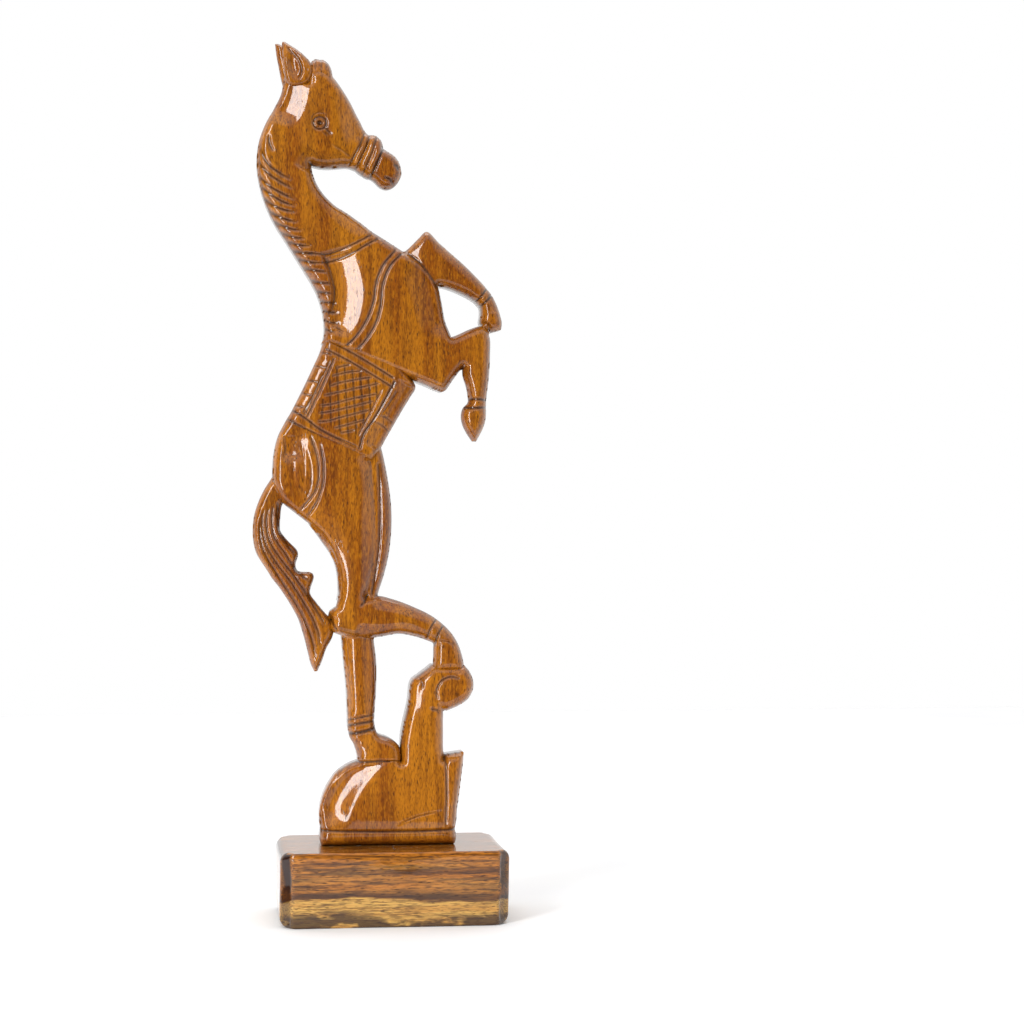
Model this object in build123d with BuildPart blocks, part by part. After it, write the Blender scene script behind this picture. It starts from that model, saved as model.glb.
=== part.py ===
"""A carved wooden figurine: a rearing horse on a tree stump, screwed to a block base.

X runs along the horse, from tail to raised foreleg.  Y is the board's thickness, and the carved
show side faces -Y.  Z is up.  The origin is at the middle of the base's underside.  Outlines are
lists of (x, z) points, with z counted up from the underside of the horse's foot.
"""

import os

from build123d import *

# --- base block ---
base_length = 79.0
base_depth = 52.0
base_height = 25.5
base_corner_chamfer = 3.0
base_end_radius = 2.5
base_edge_chamfer = 0.7

# --- the board that the horse is carved from ---
board_thickness = 19.0
trunk_relief = 0.8
head_thickness = 15.0
ear_thickness = 5.0
far_ear_setback = 2.8
leg_overlap = 0.8
far_leg_recess = 3.5
tail_thickness = 11.0
pared_edge = 1.6
fine_pared_edge = 0.9

# --- foot of the stump ---
foot_length = 47.5
foot_centre_x = -1.2
foot_band_height = 5.0
foot_corner_radius = 4.0
foot_edge_chamfer = 0.8

# --- wood screws up through the base ---
screw_spacing = 26.0
screw_length = 40.0
screw_shank_diameter = 4.0
screw_core_diameter = 2.8
screw_head_diameter = 8.0
screw_head_depth_below = 0.8
screw_tip_length = 4.0
shank_clearance = 0.25
core_clearance = 0.1
pilot_extra_depth = 2.0
recess_width = 1.0
recess_span = 4.2
recess_depth = 1.3
countersink_angle = 90.0

# Faces of the board and of the layers carved into it, as y positions.
near_face = -board_thickness / 2
far_face = board_thickness / 2
near_trunk = near_face + trunk_relief
far_trunk = far_face - trunk_relief
near_far_leg = near_face + far_leg_recess
near_head = -head_thickness / 2
far_head = head_thickness / 2

# The two ends of the foot, which the sides of the stump run down to.
foot_left = foot_centre_x - foot_length / 2
foot_right = foot_centre_x + foot_length / 2

# Screws: places along the foot, radii and the levels that their steps reach.  A head's cone rises
# as far as it narrows, which makes up the right angle of the countersink.
screw_places = [foot_centre_x - screw_spacing / 2, foot_centre_x + screw_spacing / 2]
head_radius = screw_head_diameter / 2
shank_radius = screw_shank_diameter / 2
core_radius = screw_core_diameter / 2
head_top = screw_head_depth_below + head_radius - shank_radius
screw_end = screw_head_depth_below + screw_length

# Outlines: a first point, then runs that each start where the last one ended.  A run of one
# point is a straight cut and a run of more points is a smooth curve.
trunk = [
    (-37, 265),
    [(-37.5, 261), (-43, 250.5), (-46.5, 239), (-45, 226.5), (-35, 207), (-28.5, 197), (-23.5, 185.5), (-23, 179)],
    [(-24, 174), (-29, 162), (-35.5, 148.5)],
    [(-12, 136)],
    [(-6.5, 133)],
    [(-3, 137), (4, 151), (8.5, 159)],
    [(18, 162)],
    [(20.5, 175.5), (18.5, 184), (16.5, 194), (13, 200), (4.5, 206)],
    [(-4, 211.5), (-11, 216), (-20, 222), (-25, 227.5), (-28, 235)],
    [(-28, 262)],
    [(-37, 265)],
]
head = [
    (-36.5, 265),
    [(-28, 270)],
    [(-27.5, 273.5)],
    [(-23.5, 273.5)],
    [(-22, 269)],
    [(-17.5, 263), (-13.5, 256.5), (-8, 247)],
    [(-6, 246.5), (-3.5, 245), (-3, 242)],
    [(2.5, 238.5), (3.5, 234.5), (2.5, 230.5), (-1, 228), (-4, 229)],
    [(-7, 231.5), (-9.5, 232), (-14, 235.5)],
    [(-20, 235), (-28, 236), (-33, 240), (-37, 250)],
    [(-36.5, 265)],
]
ear = [
    (-37, 279),
    [(-37.5, 272), (-36.5, 265.5)],
    [(-34, 263.5), (-31, 263.5), (-28.5, 267.5)],
    [(-28.5, 271), (-30.5, 274), (-37, 279)],
]
raised_foreleg = [
    (4, 204),
    [(12.5, 213.5)],
    [(16, 210), (25.5, 202), (33, 194.5), (37.5, 187), (38.5, 179)],
    [(35, 178.5)],
    [(31, 181.5)],
    [(31.5, 187.5)],
    [(30, 189), (25, 192), (16, 194.5)],
    [(4, 188)],
    [(4, 204)],
]
near_shoulder = [
    (4, 200),
    [(13, 194)],
    [(18.5, 181)],
    [(21, 176.5)],
    [(26, 179), (33, 179.5)],
    [(33, 167)],
    [(25, 167)],
    [(18, 157)],
    [(8.5, 159)],
    [(-2, 165)],
    [(-4, 185)],
    [(4, 200)],
]
near_foreleg = [
    (30, 180),
    [(34.5, 178)],
    [(34.5, 168), (33, 152), (32.5, 146.5)],
    [(28.5, 139.5)],
    [(24.5, 147.5), (26.5, 154.5)],
    [(26, 160), (24.5, 167)],
    [(24.5, 176)],
    [(30, 180)],
]
near_hind_leg = [
    (-35.5, 148.5),
    [(-39, 143), (-40.5, 137), (-41.5, 126)],
    [(-40.5, 119), (-36, 117)],
    [(-32, 114.5), (-22.5, 105), (-18.5, 95), (-18, 86.5), (-21, 78)],
    [(-20.5, 74), (-17.5, 72.5)],
    [(-11, 71.5), (0, 73), (9, 72), (14.5, 69)],
    [(14.5, 60)],
    [(25, 60)],
    [(25, 64), (21, 73.5), (10, 81.5), (-4.5, 86.5)],
    [(-9, 86)],
    [(-6, 98), (-5, 110.5), (-6, 123), (-6.5, 133)],
    [(-12, 137.5)],
    [(-35.5, 148.5)],
]
far_hind_leg = [
    (-30, 145),
    [(-33, 125), (-22, 106), (-17.5, 95), (-17, 72)],
    [(-15.5, 57), (-15, 41)],
    [(-14.5, 37.5), (-11.5, 33), (-11.5, 26)],
    [(3, 26)],
    [(3, 33.5)],
    [(1, 36), (-5, 38.5)],
    [(-6, 46), (-5, 63.5), (-6, 75)],
    [(-4.5, 86.5)],
    [(-1, 99), (0, 112), (-1, 127), (-3, 137)],
    [(-10, 148)],
    [(-30, 145)],
]
tail = [
    (-38, 133),
    [(-41.5, 126)],
    [(-46, 119), (-48, 109), (-46, 100), (-35.5, 84.5), (-30, 71), (-26, 60)],
    [(-22.5, 69), (-19, 74)],
    [(-19.5, 79)],
    [(-22, 79)],
    [(-28, 87.5)],
    [(-27, 94)],
    [(-31, 94.5), (-33.5, 96.5)],
    [(-32.5, 101.5)],
    [(-36, 106), (-38.5, 109.5), (-38, 118)],
    [(-36, 124)],
    [(-38, 133)],
]
stump = [
    (foot_left, foot_band_height),
    [(foot_left, 12.5), (foot_left + 4, 22), (-11.5, 28.5)],
    [(3.5, 28.5)],
    [(3, 35), (6, 49), (7, 56.5)],
    [(14, 62)],
    [(25, 62.5)],
    [(28.5, 57), (26, 50.5), (18, 46)],
    [(18, 32)],
    [(20, 30.5), (25, 31.5)],
    [(foot_right + 1.5, 22), (foot_right, foot_band_height)],
    [(foot_left, foot_band_height)],
]


def pared_slab(points, near, far, edge):
    """Cut a slab to an outline between two y positions and pare its front and back edges."""
    with BuildPart() as slab:
        with BuildSketch(Plane((0, far, base_height), x_dir=(1, 0, 0), z_dir=(0, -1, 0))):
            with BuildLine():
                start = points[0]
                for run in points[1:]:
                    if len(run) == 1:
                        Line(start, run[0])
                    else:
                        Spline(start, *run)
                    start = run[-1]
            make_face()
        extrude(amount=far - near)
        chamfer(slab.faces().filter_by(Axis.Y).edges(), length=edge)
    return slab.part


# The base block: a chamfered rectangle in plan, with its ends rounded over above and below.
with BuildPart() as base_block:
    with BuildSketch(Plane.XY):
        plan = Rectangle(base_length, base_depth)
        chamfer(plan.vertices(), length=base_corner_chamfer)
    extrude(amount=base_height)
    with BuildSketch(Plane.XZ.offset(-base_depth / 2)):
        with Locations((0, base_height / 2)):
            RectangleRounded(base_length, base_height, base_end_radius)
    extrude(amount=base_depth, mode=Mode.INTERSECT)
    long_edges = base_block.edges().filter_by(Axis.X).group_by(Axis.Y)
    chamfer(long_edges[0] + long_edges[-1], length=base_edge_chamfer)
    for x in screw_places:
        with Locations(Plane((x, 0, 0), z_dir=(0, 0, -1))):
            CounterSinkHole(
                radius=shank_radius + shank_clearance,
                counter_sink_radius=head_radius + screw_head_depth_below,
                counter_sink_angle=countersink_angle,
            )
base_block.part.label = "base_block"

# The horse and its stump: slabs standing proud of each other, all cut from the one board.
with BuildPart() as carved_horse:
    add(pared_slab(trunk, near_trunk, far_trunk, pared_edge))
    add(pared_slab(head, near_head, far_head, fine_pared_edge))
    add(pared_slab(ear, near_head, near_head + ear_thickness, fine_pared_edge))
    with Locations((-far_ear_setback, 0, 0)):
        add(pared_slab(ear, far_head - ear_thickness, far_head, fine_pared_edge))
    add(pared_slab(raised_foreleg, near_far_leg, far_trunk, fine_pared_edge))
    add(pared_slab(near_shoulder, near_face, leg_overlap, pared_edge))
    add(pared_slab(near_foreleg, near_face, leg_overlap, pared_edge))
    add(pared_slab(near_hind_leg, near_face, leg_overlap, pared_edge))
    add(pared_slab(far_hind_leg, near_far_leg, far_trunk, pared_edge))
    add(pared_slab(tail, -tail_thickness / 2, tail_thickness / 2, fine_pared_edge))
    add(pared_slab(stump, near_face, far_face, pared_edge))
    with BuildSketch(Plane.XY.offset(base_height)):
        with Locations((foot_centre_x, 0)):
            RectangleRounded(foot_length, board_thickness, foot_corner_radius)
    extrude(amount=foot_band_height)
    underside = carved_horse.faces().sort_by(Axis.Z)[0]
    chamfer(underside.edges(), length=foot_edge_chamfer)
    for x in screw_places:
        with Locations(Plane((x, 0, base_height), z_dir=(0, 0, -1))):
            Hole(core_radius + core_clearance, depth=screw_end + pilot_extra_depth - base_height)
carved_horse.part.label = "carved_horse"

# The screws: countersunk heads below, plain shanks through the base, and their threaded ends
# drawn as plain cores in the foot's pilot holes.
for side, x in zip(("left", "right"), screw_places):
    with BuildPart() as wood_screw:
        with BuildSketch(Plane((x, 0, 0), x_dir=(1, 0, 0), z_dir=(0, -1, 0))):
            with BuildLine():
                Polyline(
                    (0, screw_head_depth_below),
                    (head_radius, screw_head_depth_below),
                    (shank_radius, head_top),
                    (shank_radius, base_height),
                    (core_radius, base_height),
                    (core_radius, screw_end - screw_tip_length),
                    (0, screw_end),
                    close=True,
                )
            make_face()
        revolve(axis=Axis((x, 0, 0), (0, 0, 1)))
        with BuildSketch(Plane((x, 0, screw_head_depth_below))):
            Rectangle(recess_span, recess_width)
            Rectangle(recess_width, recess_span)
        extrude(amount=recess_depth, mode=Mode.SUBTRACT)
    wood_screw.part.label = f"wood_screw_{side}"
    os.makedirs("parts", exist_ok=True)
    export_step(wood_screw.part, f"parts/wood_screw_{side}.step")

export_step(carved_horse.part, "parts/carved_horse.step")
export_step(base_block.part, "parts/base_block.step")
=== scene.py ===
"""Rearing horse figurine: the looks of its carved board, its base block and its two screws.

Lengths in the tables are millimetres.  x runs from the tail to the forelegs, z is counted up from
the underside of the horse's foot, and depths are counted out from the board's middle plane.

The carving is made of reliefs.  A relief has one or more layers, a layer has one or more limbs, and
a limb is a list of rows (left x, left z, right x, right z, near depth, far depth) with a note of
which of its ends stay open because the wood goes on under a neighbour.
"""

import math

import bpy
import numpy as np
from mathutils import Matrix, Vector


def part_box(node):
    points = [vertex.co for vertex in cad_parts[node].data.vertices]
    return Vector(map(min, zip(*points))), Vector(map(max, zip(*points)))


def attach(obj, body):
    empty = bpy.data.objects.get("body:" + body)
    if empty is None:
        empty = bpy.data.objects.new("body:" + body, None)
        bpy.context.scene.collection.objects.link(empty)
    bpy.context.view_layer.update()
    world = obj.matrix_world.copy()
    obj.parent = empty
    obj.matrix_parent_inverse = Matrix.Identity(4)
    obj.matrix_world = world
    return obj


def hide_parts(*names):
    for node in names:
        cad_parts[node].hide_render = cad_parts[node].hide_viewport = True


bl_info = {
    "name": "Carved Rearing Horse",
    "version": (1, 0, 0),
    "blender": (4, 5, 0),
    "location": "View3D > Sidebar > Carving",
    "description": "Carves a rearing horse figurine and sets it on its block base",
    "category": "Add Mesh",
}

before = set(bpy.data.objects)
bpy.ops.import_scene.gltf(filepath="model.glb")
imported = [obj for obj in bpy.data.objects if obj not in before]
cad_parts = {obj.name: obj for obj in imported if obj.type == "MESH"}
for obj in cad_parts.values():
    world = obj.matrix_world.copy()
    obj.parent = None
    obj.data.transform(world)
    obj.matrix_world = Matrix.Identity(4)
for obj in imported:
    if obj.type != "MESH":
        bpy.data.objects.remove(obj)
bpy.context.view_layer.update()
BASE_LOW, BASE_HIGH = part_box("base_block")
MM = 0.001
SCREWS = ("wood_screw_left", "wood_screw_right")


def linear(hex_colour):
    """Turn an sRGB hex colour into linear red, green, blue and full alpha."""
    parts = [int(hex_colour[i : i + 2], 16) / 255 for i in (1, 3, 5)]
    return (*(p / 12.92 if p <= 0.04045 else ((p + 0.055) / 1.055) ** 2.4 for p in parts), 1.0)


# ---------------------------------------------------------------- settings


def length_setting(name, description, millimetres):
    """A length that a user may change, kept in metres."""
    return bpy.props.FloatProperty(
        name=name,
        description=description,
        default=millimetres * MM,
        min=0.0,
        precision=5,
        subtype="DISTANCE",
        unit="LENGTH",
    )


def colour_setting(name, description, hex_colour):
    """A colour that a user may change, kept linear."""
    return bpy.props.FloatVectorProperty(
        name=name,
        description=description,
        default=linear(hex_colour),
        min=0.0,
        max=1.0,
        size=4,
        subtype="COLOR",
    )


class CarvingSettings(bpy.types.PropertyGroup):
    """Sizes of the knife work and of the base block's worn edges."""

    spacing: length_setting("Mesh Spacing", "Distance between the points of a carved surface", 0.32)
    cut_depth: length_setting("Cut Depth", "Depth of a full knife cut", 0.6)
    cut_half_width: length_setting("Cut Half Width", "Half a knife cut's width at the surface", 0.62)
    welt_height: length_setting("Welt Height", "How far the nose bands stand up", 0.7)
    base_end_radius: length_setting("Base End Radius", "Rounding of the base's ends", 3.4)
    base_side_radius: length_setting("Base Side Radius", "Rounding of the base's long edges", 0.8)
    base_corner: length_setting("Base Corner", "Size of the flat pared off each upright corner", 3.8)


class WoodSettings(bpy.types.PropertyGroup):
    """Colours of the woods and of the stain that stays in the cuts."""

    golden: colour_setting("Golden", "Light wood of the board", "#BE7714")
    brown: colour_setting("Brown", "Common wood of the board", "#8E4C06")
    dark: colour_setting("Dark", "Dark streaks of the board", "#552605")
    # The cut colour is also laid as painted shade in the carving's hollows and along its wash lines.
    cut: colour_setting("Cut", "Stain left in the knife cuts and the pores", "#260D03")
    heart: colour_setting("Heartwood", "Upper part of the base", "#B36B1A")
    heart_dark: colour_setting("Dark Heartwood", "Dark streaks in the base", "#391C08")
    sap: colour_setting("Sapwood", "Lower part of the base", "#CFA04E")


# ---------------------------------------------------------------- surfaces

# What every relief shares, in millimetres.
OUTLINE_STEP = 1.0  # between the points of an outline
CREASE_EASE = 0.35  # how softly a facet starts at its crease
LIMIT_EASE = 0.9  # how softly it stops at its limit
LIMB_BLEND = 5.0  # within this distance of its edge a limb's own depth loses weight
SLIVER = 0.02  # the weight that a limb keeps at its own edge
LIMB_REACH = 60.0  # no point of a limb is further than this from its middle line
LAYER_EASE = 0.8  # layers whose depths differ by less than this run into each other
THINNEST = 0.3  # the least thickness of wood left between the two faces
SHALLOW_HOLLOW = 0.16  # a hollow deeper than this starts to darken, with stain and painted shade
HOLLOW_RANGE = 0.6  # and holds the most when deeper by this
NO_WOOD = -99.0  # stands for a depth where there is no wood

# Shares of a whole.
RIM_CELLS = 0.95  # the rim's points lie within this share of a cell of the outline
THIN_EDGE = 0.46  # an edge on thin wood falls at most this share of the thickness
RIM_FACET = 0.35  # the share of a facet's fall that is left at the rim
BACK_FACET = 0.6  # the share of a facet's fall that the back has
HOLLOW_STAIN_AND_SHADE = 0.75  # the darkening in a hollow, stain and painted shade, as a share of the stain in a full cut


def smooth_rows(rows, spacing):
    """Carry rows of numbers along a smooth path.

    Between two rows a and b the value is the cubic (2u^3 - 3u^2 + 1) a + (u^3 - 2u^2 + u) m +
    (3u^2 - 2u^3) b + (u^3 - u^2) n, where m and n are the slopes at the two rows.
    """
    rows = np.asarray(rows, float)
    travel = np.linalg.norm(np.diff(rows[:, :4], axis=0), axis=1)
    knots = np.concatenate(([0.0], np.cumsum(np.maximum(travel, 0.05))))
    slopes = np.gradient(rows, knots, axis=0)
    places = np.linspace(0.0, knots[-1], max(int(knots[-1] / spacing), 3) + 1)
    k = np.clip(np.searchsorted(knots, places, side="right") - 1, 0, len(rows) - 2)
    h = (knots[k + 1] - knots[k])[:, None]
    u = (places - knots[k])[:, None] / h
    return (
        (2 * u**3 - 3 * u**2 + 1) * rows[k]
        + (u**3 - 2 * u**2 + u) * h * slopes[k]
        + (3 * u**2 - 2 * u**3) * rows[k + 1]
        + (u**3 - u**2) * h * slopes[k + 1]
    )


def follow(x, z, starts, ends, reach):
    """Measure a square grid of points against a chain of straight pieces.

    Gives each point's distance to the chain, how far along the chain its nearest place is (as a
    share of the whole), and +1 on the right of the chain's heading or -1 on the left.  A point
    further than the reach keeps the reach as its distance.
    """
    gap = np.full(x.shape, float(reach))
    run = np.zeros(x.shape)
    side = np.ones(x.shape)
    step = x[1, 0] - x[0, 0]
    corner = np.array((x[0, 0], z[0, 0]))
    travelled = 0.0
    for start, end in zip(starts, ends):
        low = ((np.minimum(start, end) - reach - corner) / step).astype(int).clip(0)
        high = ((np.maximum(start, end) + reach - corner) / step + 2).astype(int).clip(0)
        part = (slice(low[0], high[0]), slice(low[1], high[1]))
        px = x[part] - start[0]
        pz = z[part] - start[1]
        dx, dz = end - start
        length = max(math.hypot(dx, dz), 1e-6)
        t = np.clip((px * dx + pz * dz) / length**2, 0, 1)
        away = np.hypot(px - t * dx, pz - t * dz)
        nearer = away < gap[part]
        gap[part][nearer] = away[nearer]
        run[part][nearer] = (travelled + t * length)[nearer]
        side[part][nearer] = np.sign(px * dz - pz * dx)[nearer]
        travelled += length
    return gap, run / max(travelled, 1e-6), side


def inside(x, z, outline):
    """Tell which points lie inside a closed outline, by counting its crossings to their right."""
    within = np.zeros(x.shape, bool)
    for (x0, z0), (x1, z1) in zip(outline, np.roll(outline, -1, axis=0)):
        if z0 != z1:
            crosses = (z0 > z) != (z1 > z)
            within ^= crosses & (x < x0 + (z - z0) * (x1 - x0) / (z1 - z0))
    return within


def knife_field(x, z, cuts, half_width, hollow=1.0):
    """Depth of the knife work, as a share of a full cut.

    A cut is (line, strength, width, taper).  At distance d from the line the depth is strength *
    (1 - d / w) ^ hollow, never below nought, and it fades over the tapering share of each end.
    """
    field = np.zeros(x.shape)
    for points, strength, width, taper in cuts:
        half = half_width * width
        line = smooth_rows(points, 0.8) if len(points) > 2 else np.asarray(points, float)
        gap, run, _ = follow(x, z, line[:-1], line[1:], half)
        fade = np.clip(np.minimum(run, 1 - run) / max(taper, 0.001), 0, 1) ** 0.6 if taper else 1.0
        field = np.maximum(field, strength * fade * (1 - gap / half) ** hollow)
    return field


def facet_drop(x, z, facets):
    """How far flat knife facets fall below the face.

    A facet is (crease line, slope, limit, fade).  On the right of the crease's heading the face
    falls by the slope times the distance, up to the limit.  It only lies beside the crease's own
    run, and dies out over the fade at both ends.
    """
    drop = np.zeros(x.shape)
    for points, slope, limit, fade in facets:
        line = smooth_rows(points, 1.5)
        gap, run, side = follow(x, z, line[:-1], line[1:], limit + 4.0)
        whole = np.linalg.norm(np.diff(line, axis=0), axis=1).sum()
        beside = np.clip(np.minimum(run, 1 - run) * whole / fade, 0, 1)
        beside = beside * beside * (3 - 2 * beside)
        past = CREASE_EASE * np.logaddexp(0.0, side * gap / CREASE_EASE)
        past = limit - LIMIT_EASE * np.logaddexp(0.0, (limit - past) / LIMIT_EASE)
        drop += slope * past * beside
    return drop


def lump_rise(x, z, lumps):
    """Soft lumps on the face: height * exp(-(a / ra)^2 - (b / rb)^2) along turned axes a and b."""
    rise = np.zeros(x.shape)
    for lx, lz, ra, rb, turn, height in lumps:
        c, s = math.cos(math.radians(turn)), math.sin(math.radians(turn))
        a = ((x - lx) * c + (z - lz) * s) / ra
        b = ((z - lz) * c - (x - lx) * s) / rb
        rise += height * np.exp(-(a**2) - b**2)
    return rise


def soften(values, weights, times):
    """Average a grid with its neighbours, 1-2-1 both ways, leaving out points of no weight."""
    for _ in range(times):
        sums = []
        for grid in (values * weights, weights):
            padded = np.pad(grid, 1)
            rows = padded[:-2] + 2 * padded[1:-1] + padded[2:]
            sums.append(rows[:, :-2] + 2 * rows[:, 1:-1] + rows[:, 2:])
        values = np.where(sums[1] > 0, sums[0] / np.maximum(sums[1], 1e-9), values)
    return values


def rounding(distance, radius, depth):
    """A quarter-ellipse edge: depth * (1 - sqrt(1 - (1 - d / r)^2)) within the radius."""
    return depth * (1 - np.sqrt(1 - (1 - np.clip(distance / radius, 0, 1)) ** 2))


def at_depth(near, far, corners):
    """Finish a limb's rows (left x, left z, right x, right z) that all have the same depths."""
    return [(*row, near, far) for row in corners]


def limb_outline(rows):
    """A limb's closed outline: down its left side and back up its right."""
    path = smooth_rows(rows, OUTLINE_STEP)
    return np.vstack((path[:, 0:2], path[::-1, 2:4]))


def layer_faces(x, z, layer):
    """Work out one layer of a relief over the grid.

    Where limbs overlap, their depths are averaged by the square of each limb's distance from its
    own edge.  From there the face falls by a shallow crown and a tight edge, both quarter ellipses
    of the distance from the rim, and by the facets.  Lumps rise from it.  The rim is as wide as one
    cell and has one depth, so the wall below it comes out even.  Gives the distance to the joined
    outline (negative outside), the near and far depths, the joined outline's pieces and the limbs'
    own outlines.
    """
    outlines = [limb_outline(rows) for rows, _ in layer["limbs"]]
    weight = np.full(x.shape, 1e-9)
    near = np.zeros(x.shape)
    far = np.zeros(x.shape)
    within = np.zeros(x.shape, bool)
    pieces = []
    rounded = []
    for number, (rows, open_ends) in enumerate(layer["limbs"]):
        outline = outlines[number]
        starts = outline
        ends = np.roll(outline, -1, axis=0)
        held = inside(x, z, outline)
        away = follow(x, z, starts, ends, LIMB_BLEND)[0]
        own = np.where(held, away + SLIVER, SLIVER * np.exp(-3 * away))
        path = smooth_rows(rows, 2 * OUTLINE_STEP)
        middle = (path[:, 0:2] + path[:, 2:4]) / 2
        knots = np.concatenate(([0.0], np.cumsum(np.linalg.norm(np.diff(middle, axis=0), axis=1))))
        run = follow(x, z, middle[:-1], middle[1:], LIMB_REACH)[1] * knots[-1]
        weight += own**2
        near += own**2 * np.interp(run, knots, path[:, 4])
        far += own**2 * np.interp(run, knots, path[:, 5])
        within |= held
        centre = (starts + ends) / 2
        shown = np.ones(len(centre), bool)
        for other, neighbour in enumerate(outlines):
            if other != number:
                shown &= ~inside(centre[:, 0], centre[:, 1], neighbour)
        pieces.append(np.hstack((starts, ends))[shown])
        if "start" in open_ends:
            shown[-1] = False
        if "end" in open_ends:
            shown[len(outline) // 2 - 1] = False
        rounded.append(np.hstack((starts, ends))[shown])
    near /= weight
    far /= weight
    pieces = np.vstack(pieces)
    rounded = np.vstack(rounded)
    edge_radius, edge_depth = layer["edge"]
    crown_radius, crown_depth = layer["crown"]
    reach = max(edge_radius, crown_radius)
    gap = follow(x, z, rounded[:, 0:2], rounded[:, 2:4], reach)[0]
    signed = follow(x, z, pieces[:, 0:2], pieces[:, 2:4], reach)[0] * np.where(within, 1, -1)
    rim_width = RIM_CELLS * (x[1, 0] - x[0, 0])
    gap = np.where(within, np.maximum(gap - rim_width, 0.0), 0.0)
    fall = rounding(gap, edge_radius, edge_depth) + rounding(gap, crown_radius, crown_depth)
    fall *= np.minimum(1.0, THIN_EDGE * (near + far) / (edge_depth + crown_depth))
    rise = lump_rise(x, z, layer.get("lumps", ()))
    drop = facet_drop(x, z, layer.get("facets", ()))
    fade = np.clip(gap / edge_radius, 0, 1)
    drop *= RIM_FACET + (1 - RIM_FACET) * fade
    near = near - fall - drop + rise * fade
    far = far - fall - BACK_FACET * drop + rise * fade
    return signed, near, far, pieces, outlines


def joined(first, second):
    """The greater of two depths a and b: s a + (1 - s) b + (w / 2) s (1 - s).

    The share s goes from 0 to 1 as a - b goes from -w / 2 to w / 2, and w is the easing width.
    """
    share = np.clip(0.5 + (first - second) / LAYER_EASE, 0, 1)
    return first * share + second * (1 - share) + LAYER_EASE / 2 * share * (1 - share)


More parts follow.
